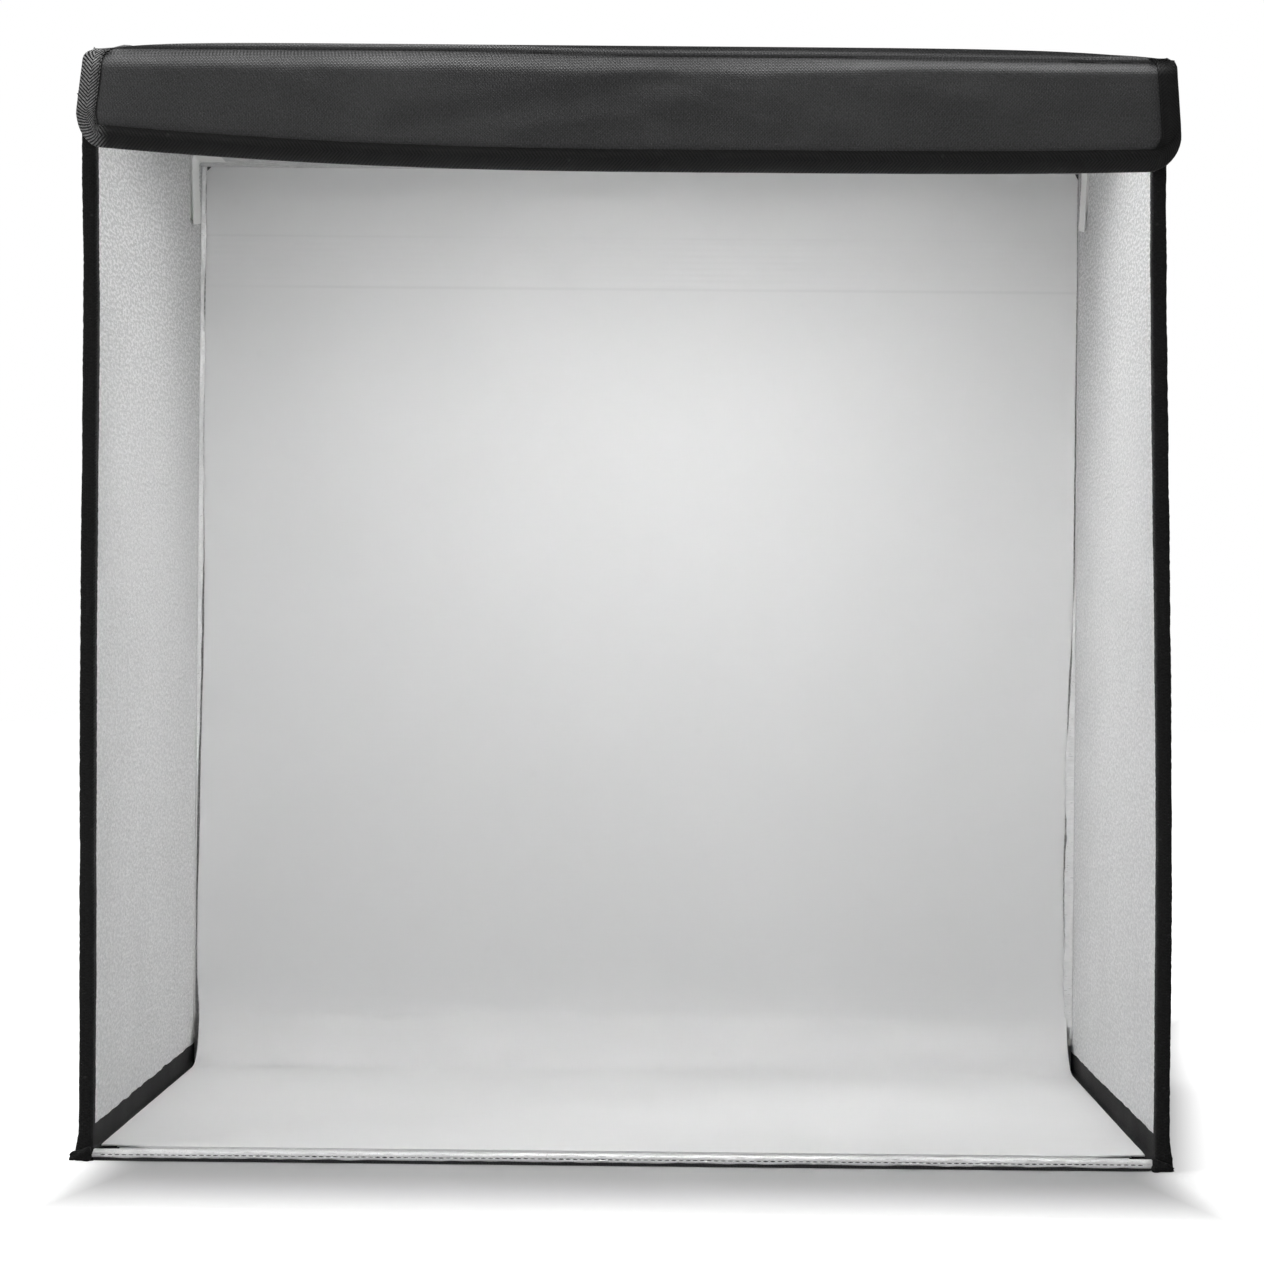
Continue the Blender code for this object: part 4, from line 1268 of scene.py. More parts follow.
class LIGHTTENT_OT_roof_tape(bpy.types.Operator):
    """Makes the nylon hinge tape over the edge between the back panel and the roof"""

    bl_idname = "light_tent.roof_tape"
    bl_label = "Roof hinge tape"

    def execute(self, context):
        tapes, panels = settings_of(context, "tapes"), settings_of(context, "panels")
        back_low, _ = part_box("roof_hinge_tape_back_leg")
        top_low, top_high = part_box("roof_hinge_tape_top_leg")
        outside, above = OUTER_HALF_DEPTH + CLOTH_GAP, ON_ROOF
        corners = [(outside, back_low.z), (outside, above), (top_low.y, above)]
        section = halved(rounded(corners, 2.4 * MM, 6), 3 * MM)
        last = len(section) - 1

        def place(along, row, spot):
            y, z = spot
            if row == 0:
                z += 0.5 * MM * ripple((along, 0.3, 0.9), 30 * MM)
            if row == last:
                y += 0.5 * MM * ripple((along, 0.8, 0.2), 30 * MM)
            return Vector((along, y, z))

        half, end, skin = top_high.x, 4 * MM, tapes.hinge
        tape = folded_tape("roof_nylon_hinge_tape", section, 150, (-half, half), place, skin, -1)
        finish(tape, nylon_finish(), "black_nylon", smooth=50)
        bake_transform(tape)
        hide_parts("roof_hinge_tape_back_leg", "roof_hinge_tape_top_leg")
        for label, start, aside, up, body in (
            ("back", (end - half, outside + skin, back_low.z + 2.5 * MM), AXIS_Z, AXIS_Y, "back_panel"),
            ("top", (end - half, top_low.y + 2.5 * MM, above + skin), AXIS_Y, AXIS_Z, "top_panel"),
        ):
            stitches(
                f"roof_tape_stitches_{label}", 2 * (half - end), panels.stitch_pitch, panels.thread,
                straight(Vector(start), AXIS_X, aside, up), body,
            )
        return {"FINISHED"}


class LIGHTTENT_OT_floor_hem(bpy.types.Operator):
    """Makes the silver hem round the floor's front edge, with its black stitches"""

    bl_idname = "light_tent.floor_hem"
    bl_label = "Floor hem"

    def execute(self, context):
        low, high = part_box("floor_front_hem")
        seam, top = 3.5, ON_FLOOR / MM
        # How far each point lies behind the floor's front, and its height, in millimetres
        bead = (
            (-0.05, 2.4), (-0.45, 2.5), (-0.6, 2.75), (-0.5, 3.05), (-0.1, seam - 0.15),
            (0, seam), (-0.15, seam + 0.35), (0.25, top - 1.0), (1.4, top),
        )
        points = [(FRONT + behind * MM, up * MM) for behind, up in bead]
        section = halved([*points, (high.y, ON_FLOOR)], 2.4 * MM)

        def place(along, row, spot):
            y, z = spot
            if 0 < row < len(section) - 3:
                y -= 0.25 * MM * ripple((along, row * 3 * MM, 0.3), 7 * MM)
                y -= 0.12 * MM * ripple((along, 0.6, 0.9), 2.5 * MM)
            if row < 3:
                z += 0.4 * MM * ripple((along, 0.1, 0.4), 9 * MM)
            return Vector((along, y, z))

        steps = int((high.x - low.x) / (2.4 * MM))
        hem = folded_tape("floor_silver_front_hem", section, steps, (low.x, high.x), place, 0.5 * MM, 1)
        finish(hem, silver_hem_finish(), "silver_lining", "base", smooth=60)
        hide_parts("floor_front_hem")
        end = 3 * MM
        start = Vector((low.x + end, FRONT - 0.45 * MM, seam * MM))
        stitches(
            "floor_hem_stitches", high.x - low.x - 2 * end, 3.9 * MM, 1.0 * MM,
            straight(start, AXIS_X, AXIS_Z, -AXIS_Y), "base",
        )
        return {"FINISHED"}


class LIGHTTENT_OT_corner_ears(bpy.types.Operator):
    """Makes the lumpy folded corners at the floor's front"""

    bl_idname = "light_tent.corner_ears"
    bl_label = "Corner ears"

    def execute(self, context):
        for side, hand in HANDS:
            middle, half = centred_box(f"{hand}_corner_ear")
            ear = cube(f"{hand}_folded_corner", 9)
            for vertex in ear.data.vertices:
                x, y, z = vertex.co
                length = (abs(x) ** 3 + abs(y) ** 3 + abs(z) ** 3) ** (1 / 3)
                x, y, z = (part / length * 1.03 for part in (x, y, z))
                outer = min(max((side * x + 1) / 2, 0), 1)
                taper = 1 - (0.5 + 0.1 * side) * outer**1.3
                spot = Vector((x * half.x * 0.8, y * half.y * (1 - 0.3 * outer), z * half.z * taper))
                spot.z -= half.z * (1 - taper) * 0.85
                fold = 0.7 * MM * math.sin(2.9 * z / taper + 3.4 * x * side + 1.1)
                lump = 0.8 * MM * ripple(spot, 3.2 * MM, side + 3) + 0.2 * MM * ripple(spot, 1.2 * MM, side)
                grow = 1 + (fold + lump) / half.z
                spot = Vector((spot.x * (1 + 0.4 * (grow - 1)), spot.y * grow, spot.z * grow))
                vertex.co = middle + spot
                vertex.co.z = max(vertex.co.z, 0.1 * MM)
            modify(ear, "SUBSURF", levels=1, render_levels=1)
            for vertex in ear.data.vertices:
                vertex.co.z = max(vertex.co.z, 0.05 * MM)
            spread_on_faces(ear)
            finish(ear, black_tape_finish(), "black_tape", "base", smooth=180)
            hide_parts(f"{hand}_corner_ear")
        return {"FINISHED"}


class LIGHTTENT_OT_corner_gussets(bpy.types.Operator):
    """Makes the small black nylon triangles in the upper back corners, where wall, back and ceiling meet,
    which stand in for the shade of the gap there
    """

    bl_idname = "light_tent.corner_gussets"
    bl_label = "Corner gussets"

    def execute(self, context):
        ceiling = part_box("top_lining")[0].z - 0.2 * MM
        cells = 6
        sizes = (6.0 * MM, 4.5 * MM), (2.8 * MM, 5.0 * MM)
        for (side, hand), (width, height) in zip(HANDS, sizes):

            def place(column, row, side=side, width=width, height=height):
                down, share = row / cells, column / cells
                across = share * width * (1 - down**1.3)
                sag = 0.5 * MM * math.sin(math.pi * down) * math.sin(math.pi * share)
                x = side * (INNER_HALF_WIDTH - 0.4 * MM - across)
                spot = across, height * down
                return Vector((x, BACK_FACE - 4.6 * MM - sag, ceiling - spot[1])), spot

            shade_piece = grid(f"{hand}_back_corner_gusset", cells, cells, place)
            clean(shade_piece)
            thicken(shade_piece, 0.5 * MM, -1)
            finish(shade_piece, nylon_finish(), "black_nylon", "back_panel", smooth=60)
        return {"FINISHED"}


# Backdrop

# Half widths of the sheet at heights on its left and right edge, in millimetres
SHEET_EDGES = {
    -1: ((0, 289.6), (25, 290.2), (74, 293.2), (182, 291.7), (300, 290.2), (420, 291.4)),
    1: ((0, 290.8), (26, 290.6), (120, 287.9), (228, 289.6), (321, 292.8), (590, 293.4)),
}


def between(low, high, parts):
    """The inner ends of a range cut into even parts."""
    return [low + (high - low) * step / parts for step in range(1, parts)]


def sheet_edge(side, z):
    """The sheet's half width on one side at a height."""
    points = [(height * MM, half * MM) for height, half in SHEET_EDGES[side]]
    result = points[0][1]
    for (low, first), (high, second) in zip(points, points[1:]):
        result += (second - first) * eased(z, low, high)
    return result


class LIGHTTENT_OT_backdrop(bpy.types.Operator):
    """Makes the white sheet, laid on the floor, swept up and hung on the back panel"""

    bl_idname = "light_tent.backdrop"
    bl_label = "Backdrop"

    def execute(self, context):
        backdrop = settings_of(context, "backdrop")
        low, high = SHEET_BOX
        under, back, front = low.z, high.y, low.y
        arc_run, turns = 1.3 * backdrop.sweep_radius * QUARTER_TURN, 28
        turn_run = arc_run / turns
        # How far back and up each turn of the sweep lies from where it leaves the floor
        bend = [(0.0, 0.0)]
        for turn in range(turns):
            angle = QUARTER_TURN * eased(turn + 0.5, 0, turns)
            y, z = bend[-1]
            bend.append((y + math.cos(angle) * turn_run, z + math.sin(angle) * turn_run))
        reach = bend[-1][0]
        floor_run = back - reach - front
        below = floor_run + arc_run
        flat_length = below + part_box("top_lining")[0].z - 0.15 * MM - (under + reach)
        header_low = below + HOOK_BOX[0].z - under - reach
        header_high = header_low + backdrop.header_height
        columns = 64
        rows = [step * MM for step in (0, 2, 4.5, 7.5, 11, 15, 20, 26, 33)]
        rows += between(rows[-1], floor_run, 56)
        first_turn = len(rows)
        rows += [floor_run, *between(floor_run, below, turns)]
        near, close = 3 * MM, 1 * MM
        rows += [below, *between(below, header_low - near, 40)]
        rows += [header_low + step for step in (-near, -close, 0, close)]
        rows += between(header_low + close, header_high - close, 12)
        rows += [header_high + step for step in (-close, 0, close, near)]
        rows += [*between(rows[-1], flat_length, 5), flat_length]

        def place(column, row):
            across = SHEET_HALF_WIDTH * (2 * column / columns - 1)
            along = rows[row]
            share = abs(across) / SHEET_HALF_WIDTH
            if along <= floor_run:
                y, z, normal = front + along, under, AXIS_Z
            elif row < first_turn + turns:
                far, up = bend[row - first_turn]
                angle = QUARTER_TURN * eased(row - first_turn, 0, turns)
                y, z = back - reach + far, under + up
                normal = Vector((0, -math.sin(angle), math.cos(angle)))
            else:
                y, z, normal = back, under + reach + along - below, -AXIS_Y
            lift = backdrop.corner_lift * (0.85 if across > 0 else 1.0)
            rise = lift * share**3 * eased(along, -2 * MM, 16 * MM) * (1 - eased(along, 20 * MM, 130 * MM))
            bow = 1.3 * MM * eased(along, below, below + 150 * MM)
            bow *= 1 - eased(along, header_low - 200 * MM, header_low - 20 * MM)
            rise += bow * (0.7 + 0.6 * ripple((across, along, 0.4), 0.22))
            for edge, depth in ((header_low, 0.3 * MM), (header_high, 0.1 * MM)):
                rise -= depth * at_line(along - edge, 1.1 * MM)
            if header_low < along < header_high:
                rise += 0.3 * MM * (0.6 + ripple((across, along * 4, 0.2), 0.05))
            edge_wave = 0.5 * MM * share**12 * ripple((across, along, 0.7), 0.05)
            sink = backdrop.front_drop * (1 - eased(along, 4 * MM, 40 * MM))
            sink *= 1 - eased(abs(across), 0.266, 0.277)
            side = math.copysign(1, across)
            x = across + side * (sheet_edge(side, z - under) - SHEET_HALF_WIDTH) * share**4
            return Vector((x, y, z)) + normal * (max(rise + edge_wave, 0) - sink), (across, along)

        sheet = grid("white_sweep_sheet", columns, len(rows) - 1, place)
        thicken(sheet, backdrop.sheet, 1)
        finish(sheet, backdrop_finish(header_low, header_high), "white_backdrop", smooth=30)
        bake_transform(sheet)
        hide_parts("backdrop_sheet")
        return {"FINISHED"}


# Hook and loop


def hook_strip(node, body, sign):
    """A hook-and-loop strip: a woven selvage round a raised, tufted field on its sign side."""
    middle, half = centred_box(node)
    axis = list(half).index(min(half))
    strip = cube(f"{node}_tape")
    for vertex in strip.data.vertices:
        vertex.co = [middle[part] + vertex.co[part] * half[part] for part in range(3)]
        if (vertex.co[axis] - middle[axis]) * sign > 0:
            vertex.co[axis] = middle[axis] + sign * half[axis] * 0.3
    with editing(strip, lambda normal: normal[axis] * sign > 0.9):
        bpy.ops.mesh.inset(thickness=1.1 * MM, depth=0)
        bpy.ops.mesh.inset(thickness=0.4 * MM, depth=half[axis] * 0.7)
        bpy.ops.mesh.select_all(action="SELECT")
        bpy.ops.mesh.bevel(offset=0.12 * MM, segments=1, affect="EDGES")
    outwards(strip)
    spread_on_faces(strip)
    finish(strip, hook_finish(), "white_hook_and_loop", body, smooth=30)
    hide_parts(node)


class LIGHTTENT_OT_hook_strips(bpy.types.Operator):
    """Makes the hook-and-loop strips of the backdrop, ceiling, walls and light bars"""

    bl_idname = "light_tent.hook_strips"
    bl_label = "Hook and loop strips"

    def execute(self, context):
        strips = [("back_loop_strip", "back_panel", -1), ("backdrop_hook_strip", "back_panel", 1)]
        for side, hand in HANDS:
            strips.append((f"{hand}_wall_loop_pad", f"{hand}_wall", -side))
            strips.append((f"{hand}_ceiling_loop_strip", "top_panel", -1))
            strips += [(f"{place}_light_{hand}_hook_pad", "top_panel", 1) for place in ("front", "rear")]
        for node, body, sign in strips:
            hook_strip(node, body, sign)
        return {"FINISHED"}


class LIGHTTENT_OT_hook_tabs(bpy.types.Operator):
    """Makes the white tabs that hold the walls to the ceiling"""

    bl_idname = "light_tent.hook_tabs"
    bl_label = "Hook tabs"

    def execute(self, context):
        for side, hand in HANDS:
            low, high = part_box(f"{hand}_hook_tab")
            face = max(abs(low.x), abs(high.x))
            inner = min(abs(low.x), abs(high.x))
            corners = [(face, low.z), (face, high.z), (inner, high.z)]
            section = halved(rounded(corners, 3.0 * MM, 4), 2.5 * MM)
            middle, half = (low.y + high.y) / 2, (high.y - low.y) / 2

            def place(along, row, spot, side=side, low=low, middle=middle, half=half):
                x, z = spot
                rise = z - low.z
                z -= 4.2 * MM * (middle + half - along) / (2 * half) * (1 - eased(rise, 0, 20 * MM))
                pull = 2 * MM * (1 - eased(rise, 0, 5 * MM)) ** 2
                y = middle + (along - middle) * (1 - pull / half)
                bow = 1.6 * MM * (1 - eased(rise, 0, 36 * MM))
                return Vector((side * (x - bow), y, z))

            name, run = f"{hand}_white_hook_tab", (low.y, high.y)
            tab = folded_tape(name, section, 18, run, place, 0.8 * MM, side)
            finish(tab, hook_finish(), "white_hook_and_loop", "top_panel", smooth=50)
            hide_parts(f"{hand}_hook_tab")
        return {"FINISHED"}


# Light bars


def pan_screw(name, middle, diameter, facing):
    """A small pan-head screw with a cross recess, its head facing along X."""
    deselect()
    bpy.ops.mesh.primitive_cylinder_add(vertices=24, radius=diameter / 2, depth=0.9 * MM)
    screw = named(name)
    with editing(screw, lambda normal: normal.z > 0.9):
        bpy.ops.mesh.inset(thickness=0.35 * MM, depth=0.25 * MM)
        bpy.ops.mesh.inset(thickness=0.4 * MM, depth=0.1 * MM)
    for angle in (0, QUARTER_TURN):
        deselect()
        bpy.ops.mesh.primitive_cube_add(size=1, location=(0, 0, 0.75 * MM), rotation=(0, 0, angle))
        slot = named(f"{name}_slot")
        slot.scale = (diameter * 0.55, 0.35 * MM, 0.9 * MM)
        bpy.ops.object.transform_apply(location=True, rotation=True, scale=True)
        modify(screw, "BOOLEAN", operation="DIFFERENCE", object=slot, solver="EXACT")
        bpy.data.objects.remove(slot)
    turn = Matrix.Rotation(QUARTER_TURN * facing, 4, "Y")
    for vertex in screw.data.vertices:
        vertex.co = middle + (turn @ vertex.co)
    outwards(screw)
    spread_on_faces(screw)
    finish(screw, screw_finish(), "light_bar_aluminium", "top_panel", smooth=30)


class LIGHTTENT_OT_light_bars(bpy.types.Operator):
    """Gives the two light bars their finishes and their end caps' screws"""

    bl_idname = "light_tent.light_bars"
    bl_label = "Light bars"

    def execute(self, context):
        bars = settings_of(context, "bars")
        for place in ("front", "rear"):
            name = f"{place}_light"
            show_node(f"{name}_channel", aluminium_finish())
            circuit_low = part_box(f"{name}_led_strip")[1].z - 1.0 * MM
            show_node(f"{name}_led_strip", circuit_finish(circuit_low))
            show_node(f"{name}_diffuser", opal_finish())
            show_node(f"{name}_power_inlet", cap_finish())
            for side, hand in HANDS:
                show_node(f"{name}_{hand}_end_cap", cap_finish())
                low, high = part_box(f"{name}_{hand}_end_cap")
                outer = high.x if side > 0 else low.x
                for label, y in (("near", low.y + 3.6 * MM), ("far", high.y - 3.6 * MM)):
                    middle = Vector((outer + side * 0.2 * MM, y, (low.z + high.z) / 2))
                    pan_screw(f"{name}_{hand}_screw_{label}", middle, bars.screw, side)
        return {"FINISHED"}


# Flap


def hem_arch(across):
    """How far the padded front edge rises at a distance across from its middle."""
    share = min(abs(across) / FLAP_HALF_WIDTH, 1)
    fall = 5.3 * share**10 if across < 0 else 5.7 * share**6.5
    return 5.3 * MM - min(fall, 5.3) * MM


def flap_top(across):
    """The height of the flap's upper edge."""
    return ROOF + 1.1 * MM + hem_arch(across)


def seam_height(across):
    """The height of the seam between the hem's roll and the flap, which runs a little downhill."""
    fall = 2.2 * eased(across, -110 * MM, 20 * MM) + 1.6 * eased(across, 90 * MM, 280 * MM)
    return min(ROOF + (2.6 - fall) * MM, flap_top(across) - 0.4 * MM)


def corner_width(across, flap):
    """How wide the rounding of the lower corner is on that side."""
    return flap.corner * (0.93 if across < 0 else 1.3)


def flap_low_line(across, flap):
    """The height of the flap's lower edge as if its corners were square."""
    share = min(abs(across) / FLAP_HALF_WIDTH, 1)
    lift = flap.lift_left * share**2.2 if across < 0 else flap.lift_right * share**4
    return ROOF - flap.drop + lift


def flap_low(across, flap):
    """The height of the flap's lower edge, with its rounded corners."""
    low = flap_low_line(across, flap)
    width = corner_width(across, flap)
    beyond = (abs(across) - (FLAP_HALF_WIDTH - width)) / width
    if beyond > 0:
        low += 1.4 * flap.corner * (1 - math.sqrt(max(1 - beyond**2, 0)))
    return low


def round_over(distance, reach):
    """0 at an edge and 1 from the reach on, as a parabola."""
    return 1 - (1 - min(max(distance / reach, 0), 1)) ** 2


# Folds below the flap's roll: both ends (across, below the roof), how far each stands out, and its width
FLAP_FOLDS = (
    (20, 12, -130, 39, -1.5, 5.5),
    (23, 28, -62, 41, 1.0, 5.0),
    (25, 21, 80, 38, 1.1, 5.0),
    (-4, 28, 33, 37, -0.8, 4.0),
    (2, 6, 23, 8, 0.7, 3.0),
    (41, 16, 60, 20, 0.7, 3.0),
    (-190, 14, -150, 30, 0.6, 6.0),
    (150, 16, 215, 30, 0.6, 7.0),
)


def fold_rise(across, height):
    """How far the flap's single folds stand out at a place on it."""
    spot = Vector((across, height - ROOF))
    rise = 0.0
    for x0, down0, x1, down1, depth, width in FLAP_FOLDS:
        start, end = Vector((x0, -down0)) * MM, Vector((x1, -down1)) * MM
        run = end - start
        share = min(max((spot - start).dot(run) / run.length_squared, 0), 1)
        near = (spot - start - run * share).length
        rise += depth * MM * at_line(near, width * MM)
    return rise


def flap_front(across, height, flap):
    """The Y of the flap's outer face at a place on it."""
    top, low, seam = flap_top(across), flap_low(across, flap), seam_height(across)
    side = FLAP_HALF_WIDTH - abs(across)
    shoulder = flap.shoulder * (1 - 0.4 * eased(across, 60 * MM, 170 * MM))
    padding = 0.3 * round_over(seam - height, shoulder) + 0.7 * eased(seam - height, 0, shoulder)
    padding *= 0.12 + 0.88 * round_over(height - low, flap.roll)
    padding *= 0.15 + 0.85 * round_over(side, 18 * MM)
    down = min(max((top - height) / (top - low), 0), 1)
    y = -(OUTER_HALF_DEPTH + 6.8 * MM) - flap.bulge * padding - 1.0 * MM * math.sin(math.pi * down) * padding
    above = height - seam
    if above > 0:
        share = min(above / (4 * MM), 1)
        y += 2.4 * MM * share**2
    for distance, depth in ((height - low, 1.0 * MM), (side, 0.5 * MM)):
        inside = distance - flap.tape_width
        y += depth * at_line(inside + 0.4 * MM, 1.3 * MM) * padding
        y -= 0.35 * depth * at_line(inside + 3.7 * MM, 1.6 * MM) * padding
    y += 0.7 * MM * at_line(height - seam, 0.8 * MM)
    below = max(seam - height, 0)
    fade = eased(below, 0, 4 * MM) * (1 - 0.75 * eased(below, 6 * MM, 45 * MM))
    y -= flap.pucker * fade * padding * (0.5 + 0.9 * ripple((across, height * 0.35, 0.2), 0.02))
    slack = 0.45 + 0.55 * eased(across, -180 * MM, 20 * MM)
    folds = ripple((across + 0.8 * height, height * 1.5, 0.6), 0.034)
    folds += 0.5 * ripple((across, height, 0.1), 0.013)
    y -= padding * (flap.drape * slack * folds + fold_rise(across, height))
    return y


def flared(across, height):
    """The distance across of a spot on the flap, which is cut a little wider towards its lower edge."""
    down = max(ROOF + 1 * MM - height, 0)
    if across < 0:
        half = 301.6 * MM + 4.2 * MM * min(down / (35 * MM), 1)
    else:
        half = 299.7 * MM + 3.3 * MM * min(down / (44 * MM), 1)
    near_top = 1 - min(down / (4.5 * MM), 1)
    half -= 4.5 * MM * (1 - math.sqrt(1 - near_top**2))
    return across * half / FLAP_HALF_WIDTH


def flap_point(across, height, depth, flap):
    """The point that lies a depth behind the flap's outer face, along that face's normal."""
    step = 1.2 * MM
    front = flap_front(across, height, flap)
    right, left = (flap_front(across + far, height, flap) for far in (step, -step))
    below, above = (flap_front(across, height + far, flap) for far in (-step, step))
    inwards = Vector(((left - right) / (2 * step), 1, (below - above) / (2 * step))).normalized()
    return Vector((flared(across, height), front, height)) + depth * inwards


def flap_columns(flap):
    """The distances across of the flap's columns, closer together in the rounded corners."""
    left = FLAP_HALF_WIDTH - corner_width(-1, flap)
    right = FLAP_HALF_WIDTH - corner_width(1, flap)
    columns = [-left + (left + right) * column / 150 for column in range(151)]
    turns = [math.sin(QUARTER_TURN * step / 9) for step in range(1, 10)]
    columns = [-left - corner_width(-1, flap) * turn for turn in reversed(turns)] + columns
    return columns + [right + corner_width(1, flap) * turn for turn in turns]


def flap_layer(name, depth, thickness, flap):
    """One layer of the flap, its front at a depth behind the outer face."""
    columns = flap_columns(flap)
    rows = 40

    def place(column, row):
        across = columns[column]
        top = flap_top(across)
        share = row / rows
        share = share - 0.1 * math.sin(2 * math.pi * share)
        height = top + (flap_low(across, flap) - top) * share
        return Vector((flared(across, height), flap_front(across, height, flap), height)), (across, height)

    layer = grid(name, len(columns) - 1, rows, place)
    thicken(layer, thickness, 1 + 2 * depth / thickness)
    return layer


def half_outline(side, flap):
    """The points and inward directions of the flap's free edge, from one upper corner to its middle."""
    half, width = FLAP_HALF_WIDTH, corner_width(side, flap)
    straight_half = half - width
    top, side_low = flap_top(side * half), flap_low(side * half, flap)
    points = [((side * half, top + (side_low - top) * row / 22), (-side, 0)) for row in range(22)]
    for step in range(10):
        angle = QUARTER_TURN * (1 - step / 10)
        across = side * (straight_half + width * math.sin(angle))
        points.append(((across, flap_low(across, flap)), (-side * math.sin(angle), math.cos(angle))))
    for column in range(101):
        across = side * straight_half * (1 - column / 100)
        points.append(((across, flap_low(across, flap)), (0, 1)))
    return points


def flap_outline(flap):
    """The flap's free edge from top left to top right, and the length along it of each point."""
    outline = half_outline(-1, flap) + half_outline(1, flap)[-2::-1]
    lengths = [0.0]
    for (first, _), (second, _) in zip(outline, outline[1:]):
        lengths.append(lengths[-1] + math.dist(first, second))
    return outline, lengths


def along_outline(outline, lengths, far):
    """The point and inward direction at a length along the flap's free edge."""
    far = min(max(far, 0), lengths[-1])
    index = next((i for i in range(1, len(lengths)) if lengths[i] >= far), len(lengths) - 1)
    share = (far - lengths[index - 1]) / max(lengths[index] - lengths[index - 1], 1e-9)
    (first, inward_first), (second, inward_second) = outline[index - 1], outline[index]
    spot = Vector(first).lerp(Vector(second), share)
    return spot, Vector(inward_first).lerp(Vector(inward_second), share).normalized()


class LIGHTTENT_OT_front_flap(bpy.types.Operator):
    """Makes the padded flap: cover, foam, backing, herringbone tape and stitches"""

    bl_idname = "light_tent.front_flap"
    bl_label = "Front flap"

    def execute(self, context):
        flap, panels = settings_of(context, "flap"), settings_of(context, "panels")
        foam_depth = flap.cover + CLOTH_GAP
        backing_depth = foam_depth + flap.foam + CLOTH_GAP
        total = backing_depth + flap.backing
        cloth, filling = (nylon_finish(), "black_nylon"), (foam_finish(), "flap_foam")
        for name, node, depth, thickness, look in (
            ("flap_nylon_cover", "flap_cover", 0.0, flap.cover, cloth),
            ("flap_grey_foam", "flap_foam", foam_depth, flap.foam, filling),
            ("flap_nylon_backing", "flap_backing", backing_depth, flap.backing, cloth),
        ):
            layer = flap_layer(name, depth, thickness, flap)
            finish(layer, *look, "front_flap", smooth=60)
            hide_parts(node)

        outline, lengths = flap_outline(flap)
        out = 0.45 * MM
        leg = flap.tape_width
        turn_in = 0.8 * MM
        front_leg = [(leg * (1 - step / 8) + turn_in * step / 8, -out) for step in range(9)]
        fold = []
        for step in range(1, 8):
            angle = math.pi * step / 8
            behind = total / 2 - (total / 2 + out) * math.cos(angle)
            fold.append((turn_in - 1.3 * MM * math.sin(angle), behind))
        back_leg = [(inset, total + out) for inset, _ in reversed(front_leg)]
        section = front_leg + fold + back_leg
        widths = [1.3 * MM]
        for first, second in zip(section, section[1:]):
            widths.append(widths[-1] + math.dist(first, second))
        last = len(section) - 1

        def place(column, row):
            (across, height), (inward_across, inward_up) = outline[column]
            inset, depth = section[row]
            far = lengths[column]
            if row in (0, last):
                inset += 0.35 * MM * ripple((far, row, 0.1), 9 * MM)
            depth -= 0.2 * MM * max(ripple((far, inset, 0.4), 6 * MM), 0) * (1 if row < last / 2 else 0)
            across, height = across + inward_across * inset, height + inward_up * inset
            return flap_point(across, height, depth, flap), (-far, widths[row])

        tape = grid("flap_herringbone_tape", len(outline) - 1, last, place)
        thicken(tape, flap.tape, -1)
        finish(tape, herringbone_finish(), "herringbone_tape", "front_flap", smooth=60)
        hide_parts("flap_binding")

        def follow(far, aside, up):
            spot, inward = along_outline(outline, lengths, far)
            inset = leg - 0.9 * MM + aside
            across, height = spot.x + inward.x * inset, spot.y + inward.y * inset
            return flap_point(across, height, -out - flap.tape - up, flap)

        thread = panels.thread * 0.8
        stitches("flap_tape_stitches", lengths[-1], 3.4 * MM, thread, follow, "front_flap")

        left, right = -272 * MM, 284 * MM

        def follow_seam(far, aside, up):
            across = left + far
            return flap_point(across, seam_height(across) + aside, -up, flap)

        thread = panels.thread * 0.6
        stitches("flap_seam_stitches", right - left, 3.2 * MM, thread, follow_seam, "front_flap")
        return {"FINISHED"}


class LIGHTTENT_OT_flap_hem(bpy.types.Operator):
    """Makes the padded hem along the roof's front edge, which carries the flap"""

    bl_idname = "light_tent.flap_hem"
    bl_label = "Flap hem"

    def execute(self, context):
        panels = settings_of(context, "panels")
        back = HEM_BOX[1].y
        thickness, lip, end = 0.8 * MM, 3.5 * MM, 4 * MM
        columns, rows, lip_rows = 140, 22, 5
        reach = back - FRONT

        def place(column, row):
            across = OUTER_HALF_WIDTH * (2 * column / columns - 1)
            arch = hem_arch(across)
            if row < lip_rows:
                down = 1 - row / lip_rows
                height = ON_ROOF + arch - (lip + arch) * down**1.5
                return Vector((across, FRONT, height)), (across, -lip * down)
            far = reach * (row - lip_rows) / (rows - lip_rows)
            share = far / reach
            rise = arch if share <= 0.3 else arch * (0.5 + 0.5 * math.cos(math.pi * (share - 0.3) / 0.7))
            if rise > 0.25 * MM:
                rise -= 0.2 * MM * at_line(reach - far - 3.0 * MM, 1.2 * MM)
            wander = 0.35 * MM * ripple((across, far * 0.6, 0.3), 0.03) * min(rise / (2 * MM), 1)
            return Vector((across, FRONT + far, ON_ROOF + max(rise + wander, 0))), (across, far)

        hem = grid("roof_padded_hem", columns, rows, place)
        thicken(hem, thickness, 1)
        finish(hem, nylon_finish(), "black_nylon", "top_panel", smooth=60)
        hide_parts("flap_hinge_hem")
        start = Vector((end - OUTER_HALF_WIDTH, back - 3 * MM, ON_ROOF + thickness))
        stitches(
            "roof_hem_stitches", 2 * (OUTER_HALF_WIDTH - end), panels.stitch_pitch, panels.thread,
            straight(start, AXIS_X, AXIS_Y, AXIS_Z), "top_panel",
        )
        return {"FINISHED"}


# Stage


